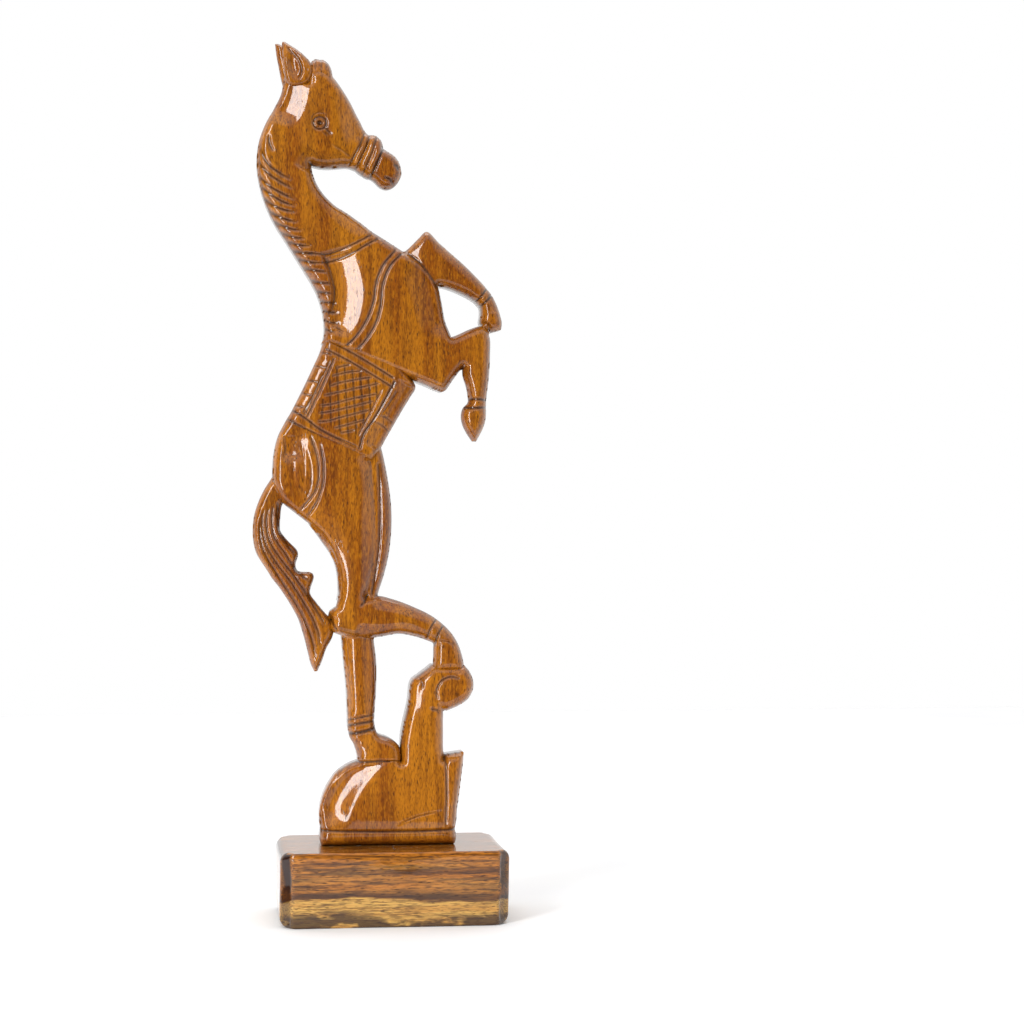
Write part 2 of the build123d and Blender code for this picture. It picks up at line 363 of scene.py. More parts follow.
def relief(name, layers, cuts=(), welts=(), painted_shade_and_stain_washes=(), scale=1.0):
    """Carve one relief and let it stand for the carved board.

    The surface is two depths over a square grid of (x, z): the highest of the layers' faces, less
    the knife cuts, plus raised welts of height * (1 - (d / w)^2).  Grid points at the outline are
    moved on to it, and walls join the two faces there.  Cuts hold stain, hollows hold stain and painted
    shade, and the wash lines darken without cutting: painted shade on most reliefs, stained lines in the
    blanket's lattice.
    """
    settings = bpy.context.scene.carving
    spacing = settings.spacing / MM * scale
    corners = np.vstack([limb_outline(rows) for layer in layers for rows, _ in layer["limbs"]])
    low = corners.min(0) - 2 * spacing
    high = corners.max(0) + 3 * spacing
    columns = np.arange(low[0], high[0], spacing)
    levels = np.arange(low[1], high[1], spacing)
    x, z = np.meshgrid(columns, levels, indexing="ij")

    signed = np.full(x.shape, NO_WOOD)
    near = np.full(x.shape, NO_WOOD)
    far = np.full(x.shape, NO_WOOD)
    made = [layer_faces(x, z, layer) for layer in layers]
    for own, near_face, far_face, _, _ in made:
        there = own > -1.5 * spacing
        near = joined(near, np.where(there, near_face, NO_WOOD))
        far = joined(far, np.where(there, far_face, NO_WOOD))
        signed = np.maximum(signed, own)
    solid = (near > NO_WOOD / 2).astype(float)
    rim = signed < RIM_CELLS * spacing
    near = np.where(rim, near, soften(near, solid, 2))
    far = np.where(rim, far, soften(far, solid, 2))

    half_width = settings.cut_half_width / MM
    cut = knife_field(x, z, cuts, half_width)
    welt = knife_field(x, z, welts, half_width)
    raised = settings.welt_height / MM * (1 - (1 - np.clip(welt, 0, 1)) ** 2)
    # Where the face lies below its softened self it is darkened: partly stain that gathers in hollows,
    # partly painted shade.
    sunk = soften(near, solid, 12) - near
    hollow = np.clip((sunk - SHALLOW_HOLLOW) / HOLLOW_RANGE, 0, 1)
    near = near + raised - cut * settings.cut_depth / MM
    far = far + raised - cut * settings.cut_depth / MM
    stain = np.maximum(np.clip(cut, 0, 1), HOLLOW_STAIN_AND_SHADE * hollow)
    stain = np.maximum(stain, knife_field(x, z, painted_shade_and_stain_washes, half_width, 0.7))

    # Keep the cells whose four corners lie in the outline or less than a third of a cell outside.
    keep = signed > -0.35 * spacing
    cell = keep[:-1, :-1] & keep[1:, :-1] & keep[:-1, 1:] & keep[1:, 1:]
    number = np.arange(x.size).reshape(x.shape)
    quads = np.stack((number[:-1, :-1], number[1:, :-1], number[1:, 1:], number[:-1, 1:]), -1)[cell]
    used, quads = np.unique(quads, return_inverse=True)
    quads = quads.reshape(-1, 4)
    count = len(used)
    places = np.stack((x.ravel()[used], z.ravel()[used]), -1)

    # An edge that no other cell shares, heading the other way, lies on the rim.
    heads = quads.ravel()
    tails = np.roll(quads, -1, axis=1).ravel()
    lone = ~np.isin(heads * count + tails, tails * count + heads)
    heads, tails = heads[lone], tails[lone]
    border = np.unique(heads)
    pieces = []
    for index, (_, _, _, own, _) in enumerate(made):
        centre = (own[:, 0:2] + own[:, 2:4]) / 2
        shown = np.ones(len(own), bool)
        for other, (_, _, _, _, outlines) in enumerate(made):
            if other != index:
                for outline in outlines:
                    shown &= ~inside(centre[:, 0], centre[:, 1], outline)
        pieces.append(own[shown])
    pieces = np.vstack(pieces)
    start = pieces[:, 0:2]
    run = pieces[:, 2:4] - start
    toward = places[border][:, None] - start
    share = np.clip((toward * run).sum(-1) / np.maximum((run**2).sum(-1), 1e-9), 0, 1)
    foot = start + share[..., None] * run
    nearest = np.linalg.norm(places[border][:, None] - foot, axis=-1).argmin(1)
    moved = foot[np.arange(len(border)), nearest]
    close = np.linalg.norm(moved - places[border], axis=1) < 1.5 * spacing
    places[border[close]] = moved[close]

    front = np.stack((places[:, 0], -near.ravel()[used], places[:, 1]), -1)
    back = np.stack((places[:, 0], np.maximum(far, THINNEST - near).ravel()[used], places[:, 1]), -1)
    walls = np.stack((tails, heads, heads + count, tails + count), -1)
    verts = np.vstack((front, back)) * MM + np.array((0, 0, BASE_HIGH[2]))
    faces = np.vstack((quads, quads[:, ::-1] + count, walls))
    piece = add_mesh(name, verts, faces.tolist(), carved_board_wood(), np.tile(stain.ravel()[used], 2))
    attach(piece, "root")
    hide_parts("carved_horse")
    return piece


def add_mesh(name, verts, faces, material, stain=None):
    """Make a smooth mesh object at the origin, with its share of stain and painted shade as an attribute.
    """
    mesh = bpy.data.meshes.new(name)
    mesh.from_pydata(verts, [], faces)
    mesh.shade_smooth()
    if stain is not None:
        attribute = mesh.attributes.new("cut_stain_and_painted_shade", "FLOAT", "POINT")
        attribute.data.foreach_set("value", stain.astype(np.float32))
    mesh.materials.append(material)
    piece = bpy.data.objects.new(name, mesh)
    bpy.context.scene.collection.objects.link(piece)
    return piece


# ---------------------------------------------------------------- finishes


def add_node(tree, kind, inputs=None, **settings):
    """Add a node with its settings; an input given as another node's output is linked to it."""
    node = tree.nodes.new(kind)
    for name, value in settings.items():
        setattr(node, name, value)
    for key, value in (inputs or {}).items():
        if isinstance(value, bpy.types.NodeSocket):
            tree.links.new(value, node.inputs[key])
        else:
            node.inputs[key].default_value = value
    return node


def new_finish(name):
    """Start a material with an empty node tree."""
    material = bpy.data.materials.new(name)
    material.use_nodes = True
    material.node_tree.nodes.clear()
    return material, material.node_tree


def grain_cells(tree, across, along, axis):
    """Object coordinates counted in cells `across` mm wide and `along` mm long down the grain."""
    size = [1 / (across * MM)] * 3
    size[axis] = 1 / (along * MM)
    place = add_node(tree, "ShaderNodeTexCoord").outputs["Object"]
    return add_node(tree, "ShaderNodeMapping", {"Vector": place, "Scale": size}).outputs[0]


def grain_streaks(tree, across, along, axis, low, high):
    """Streaks down the grain: stretched noise, eased from none at `low` to full at `high`."""
    cells = grain_cells(tree, across, along, axis)
    haze = add_node(tree, "ShaderNodeTexNoise", {"Vector": cells, "Scale": 1.0, "Detail": 3.0})
    limits = {"Value": haze.outputs["Fac"], "From Min": low, "From Max": high}
    return add_node(tree, "ShaderNodeMapRange", limits, interpolation_type="SMOOTHSTEP").outputs[0]


def grain_pores(tree, across, along, axis, size):
    """Open pores: short dashes, one to each stretched Voronoi cell, fewest where noise is low."""
    place = grain_cells(tree, across, along, axis)
    cells = add_node(tree, "ShaderNodeTexVoronoi", {"Vector": place, "Scale": 1.0}).outputs["Distance"]
    clusters = grain_streaks(tree, across * 7, along * 3, axis, 0.35, 0.62)
    reach = add_node(
        tree, "ShaderNodeMath", {0: clusters, 1: size * 0.6, 2: size * 0.55}, operation="MULTIPLY_ADD"
    ).outputs[0]
    limits = {"Value": cells, "From Min": reach, "From Max": size * 0.45}
    return add_node(tree, "ShaderNodeMapRange", limits, interpolation_type="SMOOTHSTEP").outputs[0]


def stained(tree, colour, share, amount, stain):
    """Lay a stain over a colour where a share says, up to an amount."""
    strength = add_node(tree, "ShaderNodeMath", {0: share, 1: amount}, operation="MULTIPLY").outputs[0]
    mixed = add_node(tree, "ShaderNodeMix", {0: strength, 6: colour, 7: stain}, data_type="RGBA")
    return mixed.outputs[2]


def lacquered(tree, colour, dents, depth):
    """Brushed gloss lacquer on sanded and stained wood.

    The lacquer has soaked in, so the wood itself gives little sheen (roughness 0.5) and its top
    skin a sharp reflection, a little broken up by sanding marks.  The dents are unfilled pores.
    """
    ripple = grain_streaks(tree, 2.6, 3.8, 0, 0.2, 0.8)
    level = add_node(
        tree, "ShaderNodeMath", {0: dents, 1: -0.8, 2: ripple}, operation="MULTIPLY_ADD"
    ).outputs[0]
    wood = add_node(tree, "ShaderNodeBump", {"Height": level, "Strength": 0.5, "Distance": depth})
    skin = add_node(tree, "ShaderNodeBump", {"Height": level, "Strength": 0.16, "Distance": depth})
    inputs = {
        "Base Color": colour,
        "Roughness": 0.5,
        "IOR": 1.5,
        "Specular IOR Level": 0.12,
        "Coat Weight": 1.0,
        "Coat Roughness": 0.07,
        "Coat IOR": 1.5,
        "Normal": wood.outputs[0],
        "Coat Normal": skin.outputs[0],
    }
    shader = add_node(tree, "ShaderNodeBsdfPrincipled", inputs)
    add_node(tree, "ShaderNodeOutputMaterial", {"Surface": shader.outputs[0]})


def carved_board_wood():
    """Lacquered acacia with upright grain: golden brown, darker bands, dark dash-like pores."""
    if "lacquered_acacia_board" in bpy.data.materials:
        return bpy.data.materials["lacquered_acacia_board"]
    woods = bpy.context.scene.woods
    material, tree = new_finish("lacquered_acacia_board")
    # Growth bands are about 9 mm wide, with streaks of 1 to 2 mm in them.
    colour = stained(tree, woods.brown, grain_streaks(tree, 9, 90, 2, 0.36, 0.64), 0.75, woods.golden)
    colour = stained(tree, colour, grain_streaks(tree, 1.5, 22, 2, 0.42, 0.66), 0.50, woods.dark)
    # Flecks a third of a millimetre wide give the wood its fine, grainy look.
    colour = stained(tree, colour, grain_streaks(tree, 0.36, 1.7, 2, 0.46, 0.64), 0.55, woods.dark)
    colour = stained(tree, colour, grain_streaks(tree, 0.5, 2.2, 2, 0.48, 0.68), 0.50, woods.golden)
    # Pores are 0.3 mm wide and 1 to 2 mm long.
    pores = grain_pores(tree, 0.8, 3.6, 2, 0.26)
    colour = stained(tree, colour, pores, 0.75, woods.cut)
    # Stain gathers in the bottom of a cut and fades quickly up its sides; the same attribute also carries
    # painted shade in hollows and along the wash lines.
    cut = add_node(tree, "ShaderNodeAttribute", attribute_name="cut_stain_and_painted_shade").outputs["Fac"]
    stain = add_node(tree, "ShaderNodeMath", {0: cut, 1: 1.5}, operation="POWER").outputs[0]
    colour = stained(tree, colour, stain, 0.85, woods.cut)
    lacquered(tree, colour, pores, 0.10 * MM)
    return material


def base_block_wood():
    """Lacquered acacia lying across: brown heartwood above, pale sapwood below, dark at the seam."""
    woods = bpy.context.scene.woods
    material, tree = new_finish("lacquered_acacia_base")
    streaks = grain_streaks(tree, 1.1, 24, 0, 0.40, 0.66)
    broad = grain_streaks(tree, 4.5, 60, 0, 0.38, 0.62)
    flecks = grain_streaks(tree, 0.45, 3.2, 0, 0.44, 0.66)
    heart = stained(tree, woods.heart, streaks, 0.80, woods.heart_dark)
    heart = stained(tree, heart, broad, 0.20, woods.sap)
    sap = stained(tree, woods.sap, streaks, 0.40, woods.heart)
    # The heartwood ends about 9.5 mm up, along a line that wanders by 2 or 3 mm.
    place = add_node(tree, "ShaderNodeTexCoord").outputs["Object"]
    height = add_node(tree, "ShaderNodeSeparateXYZ", {"Vector": place}).outputs["Z"]
    wander = add_node(
        tree, "ShaderNodeTexNoise", {"Vector": grain_cells(tree, 14, 38, 0), "Scale": 1.0, "Detail": 4.0}
    ).outputs["Fac"]
    level = add_node(
        tree, "ShaderNodeMath", {0: wander, 1: 10 * MM, 2: height}, operation="MULTIPLY_ADD"
    ).outputs[0]
    over = {"Value": level, "From Min": 13.8 * MM, "From Max": 14.8 * MM}
    above = add_node(tree, "ShaderNodeMapRange", over, interpolation_type="SMOOTHSTEP").outputs[0]
    colour = stained(tree, sap, above, 1.0, heart)
    over = {"Value": level, "From Min": 18.5 * MM, "From Max": 14.6 * MM}
    seam = add_node(tree, "ShaderNodeMapRange", over, interpolation_type="SMOOTHSTEP").outputs[0]
    edge = add_node(tree, "ShaderNodeMath", {0: seam, 1: above}, operation="MULTIPLY").outputs[0]
    colour = stained(tree, colour, edge, 0.82, woods.heart_dark)
    # Grime and old stain gather in blotches along the bottom edge.
    over = {"Value": level, "From Min": 10.4 * MM, "From Max": 7.2 * MM}
    low = add_node(tree, "ShaderNodeMapRange", over, interpolation_type="SMOOTHSTEP").outputs[0]
    blotch = grain_streaks(tree, 3, 8, 0, 0.36, 0.50)
    grime = add_node(tree, "ShaderNodeMath", {0: low, 1: blotch}, operation="MULTIPLY").outputs[0]
    colour = stained(tree, colour, grime, 0.85, woods.cut)
    colour = stained(tree, colour, flecks, 0.60, woods.heart_dark)
    # Dark vessel lines are a third of a millimetre wide and about 9 mm long.
    colour = stained(tree, colour, grain_streaks(tree, 0.36, 9, 0, 0.50, 0.66), 0.60, woods.cut)
    pores = grain_pores(tree, 0.8, 4.2, 0, 0.26)
    colour = stained(tree, colour, pores, 0.75, woods.cut)
    pared = add_node(tree, "ShaderNodeAttribute", attribute_name="cut_stain_and_painted_shade").outputs["Fac"]
    colour = stained(tree, colour, pared, 1.0, woods.cut)
    lacquered(tree, colour, pores, 0.10 * MM)
    return material


def plated_screw_steel():
    """Yellow-passivated zinc on turned steel: a thin gold film that varies, dulled by handling."""
    material, tree = new_finish("yellow_zinc_plated_steel")
    film = grain_streaks(tree, 1.5, 1.5, 2, 0.3, 0.7)
    colour = stained(tree, linear("#B9A257"), film, 1.0, linear("#C9C3B0"))
    limits = {"Value": film, "To Min": 0.25, "To Max": 0.45}
    rough = add_node(tree, "ShaderNodeMapRange", limits).outputs[0]
    inputs = {"Base Color": colour, "Metallic": 1.0, "Roughness": rough}
    shader = add_node(tree, "ShaderNodeBsdfPrincipled", inputs)
    add_node(tree, "ShaderNodeOutputMaterial", {"Surface": shader.outputs[0]})
    return material


def studio_paper():
    """Matt white background paper, very slightly mottled."""
    material, tree = new_finish("matt_white_paper")
    mottle = grain_streaks(tree, 60, 60, 2, 0.3, 0.7)
    colour = stained(tree, linear("#F9F9F9"), mottle, 1.0, linear("#F6F6F7"))
    shader = add_node(tree, "ShaderNodeBsdfPrincipled", {"Base Color": colour, "Roughness": 0.9})
    add_node(tree, "ShaderNodeOutputMaterial", {"Surface": shader.outputs[0]})
    return material


# ---------------------------------------------------------------- carving


class HORSE_OT_ears(bpy.types.Operator):
    """Carve the two pricked ears and the forelock"""

    bl_idname = "horse.ears"
    bl_label = "Carve Ears and Forelock"

    def execute(self, context):
        near_ear = [
            (-34.6, 262.9, -31.6, 262.9, 7.6, -1.0), (-36.3, 264.2, -29.0, 264.0, 7.6, -1.0),
            (-36.9, 266.3, -27.4, 266.3, 7.5, -1.0), (-37.3, 269.6, -27.4, 270.0, 7.2, -1.0),
            (-37.6, 272.6, -29.9, 273.3, 6.6, -1.0), (-37.8, 275.2, -32.5, 275.6, 5.8, -1.0),
            (-37.9, 277.2, -34.9, 277.3, 5.0, -1.0), (-37.8, 278.6, -37.0, 278.7, 4.2, -1.0),
        ]
        far_ear = [
            (-37.3, 264.0, -31.0, 263.6, -1.2, 7.6), (-38.1, 267.4, -30.0, 268.0, -1.2, 7.6),
            (-38.8, 271.0, -30.6, 272.0, -1.2, 7.4), (-39.5, 274.4, -33.4, 275.6, -1.2, 6.8),
            (-39.9, 277.2, -37.0, 278.0, -1.1, 6.0), (-40.1, 278.8, -39.0, 278.9, -1.0, 5.0),
        ]
        near_cuts = [
            ([(-36.4, 276.6), (-33.6, 273.8), (-31.6, 270.6),
              (-31.2, 267.4), (-32.4, 265.0)], 0.9, 1.1, 0.15),
            ([(-30.2, 272.2), (-29.2, 269.6), (-29.6, 266.8)], 0.4, 0.9, 0.3),
        ]
        scoop = [(-34.0, 269.6, 2.0, 5.0, 10, -1.5)]
        near_shape = {"limbs": [(near_ear, "")], "edge": (1.3, 1.4), "crown": (2.6, 0.5), "lumps": scoop}
        far_shape = {"limbs": [(far_ear, "")], "edge": (1.3, 1.4), "crown": (2.6, 0.5)}
        relief("horse_ear_near", [near_shape], near_cuts, scale=0.75)
        relief("horse_ear_far", [far_shape], scale=0.75)
        tuft = [
            (-29.6, 261.0, -19.6, 262.4, 7.2, 5.6), (-29.2, 266.0, -20.4, 267.0, 6.8, 5.6),
            (-28.6, 269.6, -21.2, 270.2, 6.2, 5.2), (-27.9, 271.6, -22.2, 271.8, 5.6, 4.8),
            (-26.6, 273.0, -23.6, 272.8, 5.0, 4.6),
        ]
        cuts = [
            ([(-26.9, 273.6), (-26.3, 270.8), (-26.6, 268.4)], 0.8, 1.0, 0.2),
            ([(-24.9, 273.6), (-24.2, 271.0), (-24.4, 268.6)], 0.8, 1.0, 0.2),
            ([(-22.9, 272.6), (-22.4, 270.4), (-22.6, 268.8)], 0.7, 1.0, 0.2),
        ]
        lock = {"limbs": [(tuft, "start")], "edge": (1.8, 2.4), "crown": (3.0, 0.6)}
        relief("horse_forelock", [lock], cuts, scale=0.75)
        return {"FINISHED"}


class HORSE_OT_forehand(bpy.types.Operator):
    """Carve the head, neck and mane, the chest with its breast straps, and both raised forelegs"""

    bl_idname = "horse.forehand"
    bl_label = "Carve Head, Neck, Chest and Forelegs"

    def execute(self, context):
        neck = [
            (-37.0, 267.0, -29.0, 265.0, 7.0, 7.0), (-38.2, 260.5, -27.5, 256.0, 7.3, 7.3),
            (-40.8, 255.0, -27.4, 247.0, 7.5, 7.5), (-43.8, 249.5, -28.0, 239.0, 7.7, 7.7),
            (-45.9, 243.5, -27.2, 232.5, 8.0, 8.0), (-46.6, 237.5, -24.8, 227.3, 8.3, 8.3),
            (-46.0, 231.0, -20.2, 222.3, 8.6, 8.6), (-44.0, 223.5, -15.4, 219.2, 8.8, 8.8),
            (-40.8, 216.3, -10.8, 216.0, 8.9, 8.9), (-36.2, 209.0, -7.0, 213.0, 9.0, 9.0),
            (-31.7, 201.8, -3.6, 210.9, 9.1, 9.1), (-28.8, 197.2, 1.5, 207.6, 9.2, 9.2),
        ]
        head = [
            (-30.0, 266.5, -37.2, 264.5, 6.6, 6.6), (-26.5, 269.5, -38.2, 258.0, 7.2, 7.2),
            (-22.3, 268.6, -37.0, 250.0, 7.6, 7.6), (-19.6, 265.8, -34.5, 243.5, 7.9, 7.9),
            (-17.3, 262.6, -31.0, 238.3, 8.0, 8.0), (-15.2, 259.4, -27.0, 235.8, 7.9, 7.9),
            (-13.4, 256.2, -22.5, 235.1, 7.5, 7.5), (-12.0, 253.5, -18.5, 235.3, 7.0, 7.0),
            (-10.6, 251.0, -15.5, 235.5, 6.6, 6.6), (-9.4, 248.6, -13.0, 235.0, 6.3, 6.3),
            (-7.9, 247.0, -11.0, 233.6, 6.3, 6.3), (-6.0, 246.9, -9.0, 232.2, 6.4, 6.4),
            (-4.0, 245.6, -7.4, 231.7, 6.4, 6.4), (-3.0, 243.8, -6.0, 231.0, 6.2, 6.2),
            (-2.7, 242.4, -5.0, 230.0, 6.0, 6.0), (-1.0, 241.1, -3.9, 229.0, 5.9, 5.9),
            (1.0, 239.9, -2.8, 228.4, 5.9, 5.9), (2.6, 238.0, -1.5, 228.1, 5.8, 5.8),
            (3.5, 235.5, 0.0, 228.4, 5.6, 5.6), (3.7, 233.2, 1.4, 229.3, 5.4, 5.4),
            (3.1, 231.6, 2.4, 230.4, 5.2, 5.2),
        ]
        chest = [
            (-34.0, 205.6, -5.0, 211.7, 9.1, 9.1), (-31.7, 201.8, -3.6, 210.9, 9.1, 9.1),
            (-28.8, 197.2, 4.2, 206.0, 9.2, 9.2), (-25.9, 191.8, 10.3, 202.2, 9.3, 9.3),
            *at_depth(9.4, 9.4, [
                (-24.1, 186.6, 15.2, 196.8), (-23.3, 181.6, 17.4, 189.0), (-23.2, 178.2, 18.7, 182.0),
                (-23.6, 175.6, 20.9, 176.0), (-23.9, 174.8, 21.2, 166.5), (-24.2, 174.2, 18.0, 157.4),
            ]),
        ]
        forearm = [
            (8.0, 172.0, 8.0, 163.0, 9.4, 9.4), (17.5, 175.8, 15.5, 158.2, 9.4, 9.2),
            (21.0, 176.6, 18.2, 157.6, 9.4, 7.0), (24.0, 177.8, 21.3, 161.5, 9.4, 2.4),
            (27.5, 179.4, 24.0, 165.0, 9.4, 0.4), (31.0, 180.4, 26.0, 166.5, 9.4, 0.4),
            (33.2, 179.6, 28.5, 167.5, 9.4, 0.4), (34.1, 178.2, 31.0, 168.5, 9.3, 0.4),
        ]
        cannon = [
            (27.0, 178.8, 33.0, 179.4, 9.3, 0.4), (25.4, 174.0, 34.3, 176.5, 9.3, 0.4),
            (25.0, 168.0, 34.4, 170.0, 9.3, 0.4), (24.9, 163.0, 34.1, 163.5, 9.2, 0.4),
            (26.0, 159.5, 33.7, 159.6, 9.1, 0.4), (26.6, 156.4, 33.3, 156.2, 8.8, 0.4),
            (26.6, 153.6, 33.1, 153.4, 8.6, 0.4), (25.0, 151.9, 33.1, 151.6, 8.8, 0.4),
            (24.3, 149.4, 33.0, 149.2, 9.2, 0.4), (24.8, 146.0, 32.4, 146.0, 9.2, 0.4),
            (26.4, 142.8, 31.0, 142.8, 8.9, 0.4), (28.2, 140.2, 29.6, 140.2, 8.4, 0.4),
        ]
        lifted = [
            *at_depth(6.4, 8.9, [
                (0.0, 203.0, 2.0, 190.0), (6.0, 207.4, 7.5, 192.0), (9.5, 210.9, 10.5, 193.2),
                (12.3, 213.4, 13.6, 194.0), (16.5, 209.8, 17.5, 194.4), (20.5, 206.3, 20.5, 193.7),
                (25.5, 202.0, 24.8, 192.0), (29.6, 198.0, 28.0, 190.4),
            ]),
            (33.0, 194.4, 30.3, 188.7, 6.2, 8.9), (35.4, 191.4, 31.5, 187.0, 6.2, 8.9),
            (37.1, 188.0, 31.6, 184.6, 6.4, 8.9), (38.2, 184.6, 31.3, 181.8, 6.4, 8.9),
            (38.9, 181.6, 33.0, 179.7, 6.2, 8.9), (38.6, 179.4, 35.2, 178.5, 6.0, 8.6),
        ]
        near_facets = [
            # Poll, forehead, jaw, breast, shoulder and throat.
            ([(-27.4, 266.5), (-28.6, 260.0), (-30.6, 253.5), (-34.6, 246.0)], 0.36, 6.6, 6.0),
            ([(-15.0, 240.5), (-18.5, 250.0), (-21.8, 262.0)], 0.26, 7, 5.0),
            ([(-31.0, 243.5), (-26.5, 241.0), (-19.0, 239.6), (-13.5, 238.4)], 0.42, 4, 6.0),
            ([(-14.8, 210.5), (-11.0, 201.0), (-9.4, 191.0),
              (-11.0, 181.5), (-16.0, 173.0)], 0.37, 7.2, 5.0),
            ([(11.0, 172.0), (7.5, 184.0), (4.6, 194.0), (1.0, 202.5)], 0.26, 9, 9.0),
            ([(-8.5, 208.0), (-14.5, 211.5), (-23.0, 218.0),
              (-29.0, 226.5), (-31.5, 234.0)], 0.28, 7, 7.0),
        ]
        far_facets = [
            ([(34.0, 184.0), (31.6, 191.0), (22.5, 199.8), (13.5, 207.6)], 0.4, 4, 1.6),
            ([(11.0, 211.0), (10.4, 206.0), (10.0, 201.0)], 0.34, 5, 1.6),
            ([(15.0, 197.0), (22.0, 196.0), (29.0, 192.4)], 0.4, 3, 1.6),
        ]
        turn = np.radians(np.arange(0, 361, 15))
        eye_rim = np.stack((-25.0 + 2.3 * np.cos(turn), 250.0 + 2.1 * np.sin(turn)), -1)
        cuts = [
            # Eye: rim, pupil, brow and tear lines.
            (eye_rim, 1.25, 1.15, 0),
            ([(-25.15, 250.0), (-24.85, 250.0)], 2.0, 2.0, 0),
            ([(-28.2, 250.2), (-27.1, 252.7), (-24.8, 253.8), (-22.6, 252.3)], 0.8, 0.9, 0.2),
            ([(-23.4, 248.7), (-20.7, 246.0)], 1.2, 1.15, 0.3),
            ([(-24.6, 247.6), (-21.9, 245.6)], 0.7, 0.8, 0.3),
            # Cheek line, then the edges of the nose bands.
            ([(-20.9, 242.9), (-17.1, 240.9), (-13.4, 238.2)], 0.8, 0.9, 0.2),
            ([(-9.2, 247.4), (-10.6, 243.6), (-12.8, 239.4), (-14.8, 235.6)], 1.1, 1.1, 0.05),
            ([(-7.4, 246.4), (-8.8, 242.4), (-10.6, 238.4), (-12.5, 234.2)], 0.9, 1.0, 0.05),
            ([(-5.2, 246.0), (-6.3, 242.0), (-8.2, 237.0), (-10.2, 232.6)], 1.0, 1.1, 0.05),
            ([(-2.6, 242.8), (-4.4, 238.2), (-7.4, 231.6)], 1.3, 1.4, 0.02),
            # Nostril and mouth.
            ([(0.6, 236.6), (1.8, 236.0), (2.6, 234.2)], 1.4, 1.6, 0.3),
            ([(-2.6, 232.1), (-0.5, 231.2), (0.9, 229.4)], 1.3, 1.5, 0.2),
            # Collar strap.
            ([(-31.0, 205.3), (-21.9, 204.8), (-18.1, 206.1),
              (-12.6, 208.6), (-6.6, 211.9)], 1.1, 1.1, 0.05),
            ([(-25.4, 201.4), (-19.9, 202.6), (-13.3, 205.4),
              (-9.5, 207.7), (-4.2, 210.6)], 1.1, 1.1, 0.05),
            ([(-22.5, 203.6), (-15.5, 205.4), (-9.0, 208.6)], 0.45, 0.8, 0.3),
            # Breast strap, and the root of the lifted foreleg.
            ([(1.6, 206.8), (-3.3, 200.7), (-5.5, 195.2), (-6.4, 188.9),
              (-8.2, 183.4), (-11.9, 177.1), (-17.0, 171.8)], 1.2, 1.2, 0.03),
            ([(4.0, 205.8), (-0.8, 200.7), (-3.3, 194.5), (-4.0, 187.2),
              (-5.7, 181.0), (-9.5, 174.7), (-14.0, 169.8)], 1.2, 1.2, 0.03),
            ([(4.6, 206.4), (9.5, 202.4), (13.4, 197.6), (16.2, 192.6)], 1.1, 1.3, 0.1),
            # Fetlock bands of the two forelegs, and the lifted hoof.
            ([(23.0, 154.4), (28.0, 154.9), (34.3, 154.4)], 1.4, 1.2, 0),
            ([(23.0, 152.2), (28.0, 151.8), (34.3, 152.2)], 1.4, 1.2, 0),
            ([(28.4, 188.2), (30.9, 190.4), (33.8, 194.2)], 1.3, 1.2, 0),
            ([(30.0, 186.6), (32.6, 188.6), (35.8, 192.0)], 1.3, 1.2, 0),
            ([(31.2, 182.2), (33.5, 181.4), (34.6, 179.6)], 0.7, 1.0, 0.2),
        ]
        mane = [
            [(-42.5, 246.0), (-42.2, 242.5), (-40.8, 239.8)],
            [(-45.6, 242.5), (-43.5, 236.5), (-38.5, 232.2), (-34.5, 230.0)],
            [(-46.8, 238.0), (-43.3, 232.8), (-38.5, 229.4), (-34.0, 227.0)],
            [(-47.0, 233.3), (-42.4, 228.0), (-38.0, 225.4), (-33.2, 223.2)],
            [(-46.6, 229.6), (-41.3, 224.6), (-36.5, 222.0), (-33.0, 221.1)],
            [(-45.9, 225.8), (-40.5, 221.0), (-36.0, 219.4), (-32.8, 219.0)],
            [(-45.1, 222.2), (-40.0, 217.9), (-35.5, 216.1), (-32.3, 215.5)],
            [(-43.8, 218.6), (-38.3, 214.5), (-34.0, 213.0), (-30.8, 212.8)],
            [(-42.3, 215.0), (-37.5, 211.8), (-33.5, 210.2), (-29.6, 210.0)],
            [(-41.0, 212.2), (-36.0, 209.0), (-32.0, 207.6), (-27.8, 207.4)],
            [(-39.3, 209.0), (-34.0, 205.8), (-30.0, 204.8), (-25.6, 204.7)],
            [(-37.6, 206.2), (-33.0, 203.4), (-29.0, 201.9), (-23.5, 201.5)],
            [(-33.5, 201.2), (-28.0, 199.2), (-21.8, 198.4)],
            [(-31.5, 197.8), (-26.0, 195.0), (-20.4, 194.4)],
            [(-29.5, 194.2), (-25.0, 191.6), (-20.4, 191.0)],
            [(-28.0, 190.8), (-24.0, 188.3), (-19.2, 187.8)],
            [(-26.6, 187.4), (-23.0, 185.0), (-18.4, 184.6)],
            [(-25.6, 184.2), (-22.0, 181.4), (-18.2, 180.8)],
            [(-25.0, 181.0), (-21.5, 178.1), (-19.4, 177.8)],
        ]
        cuts += [(line, 1.2, 1.35, 0.22) for line in mane]
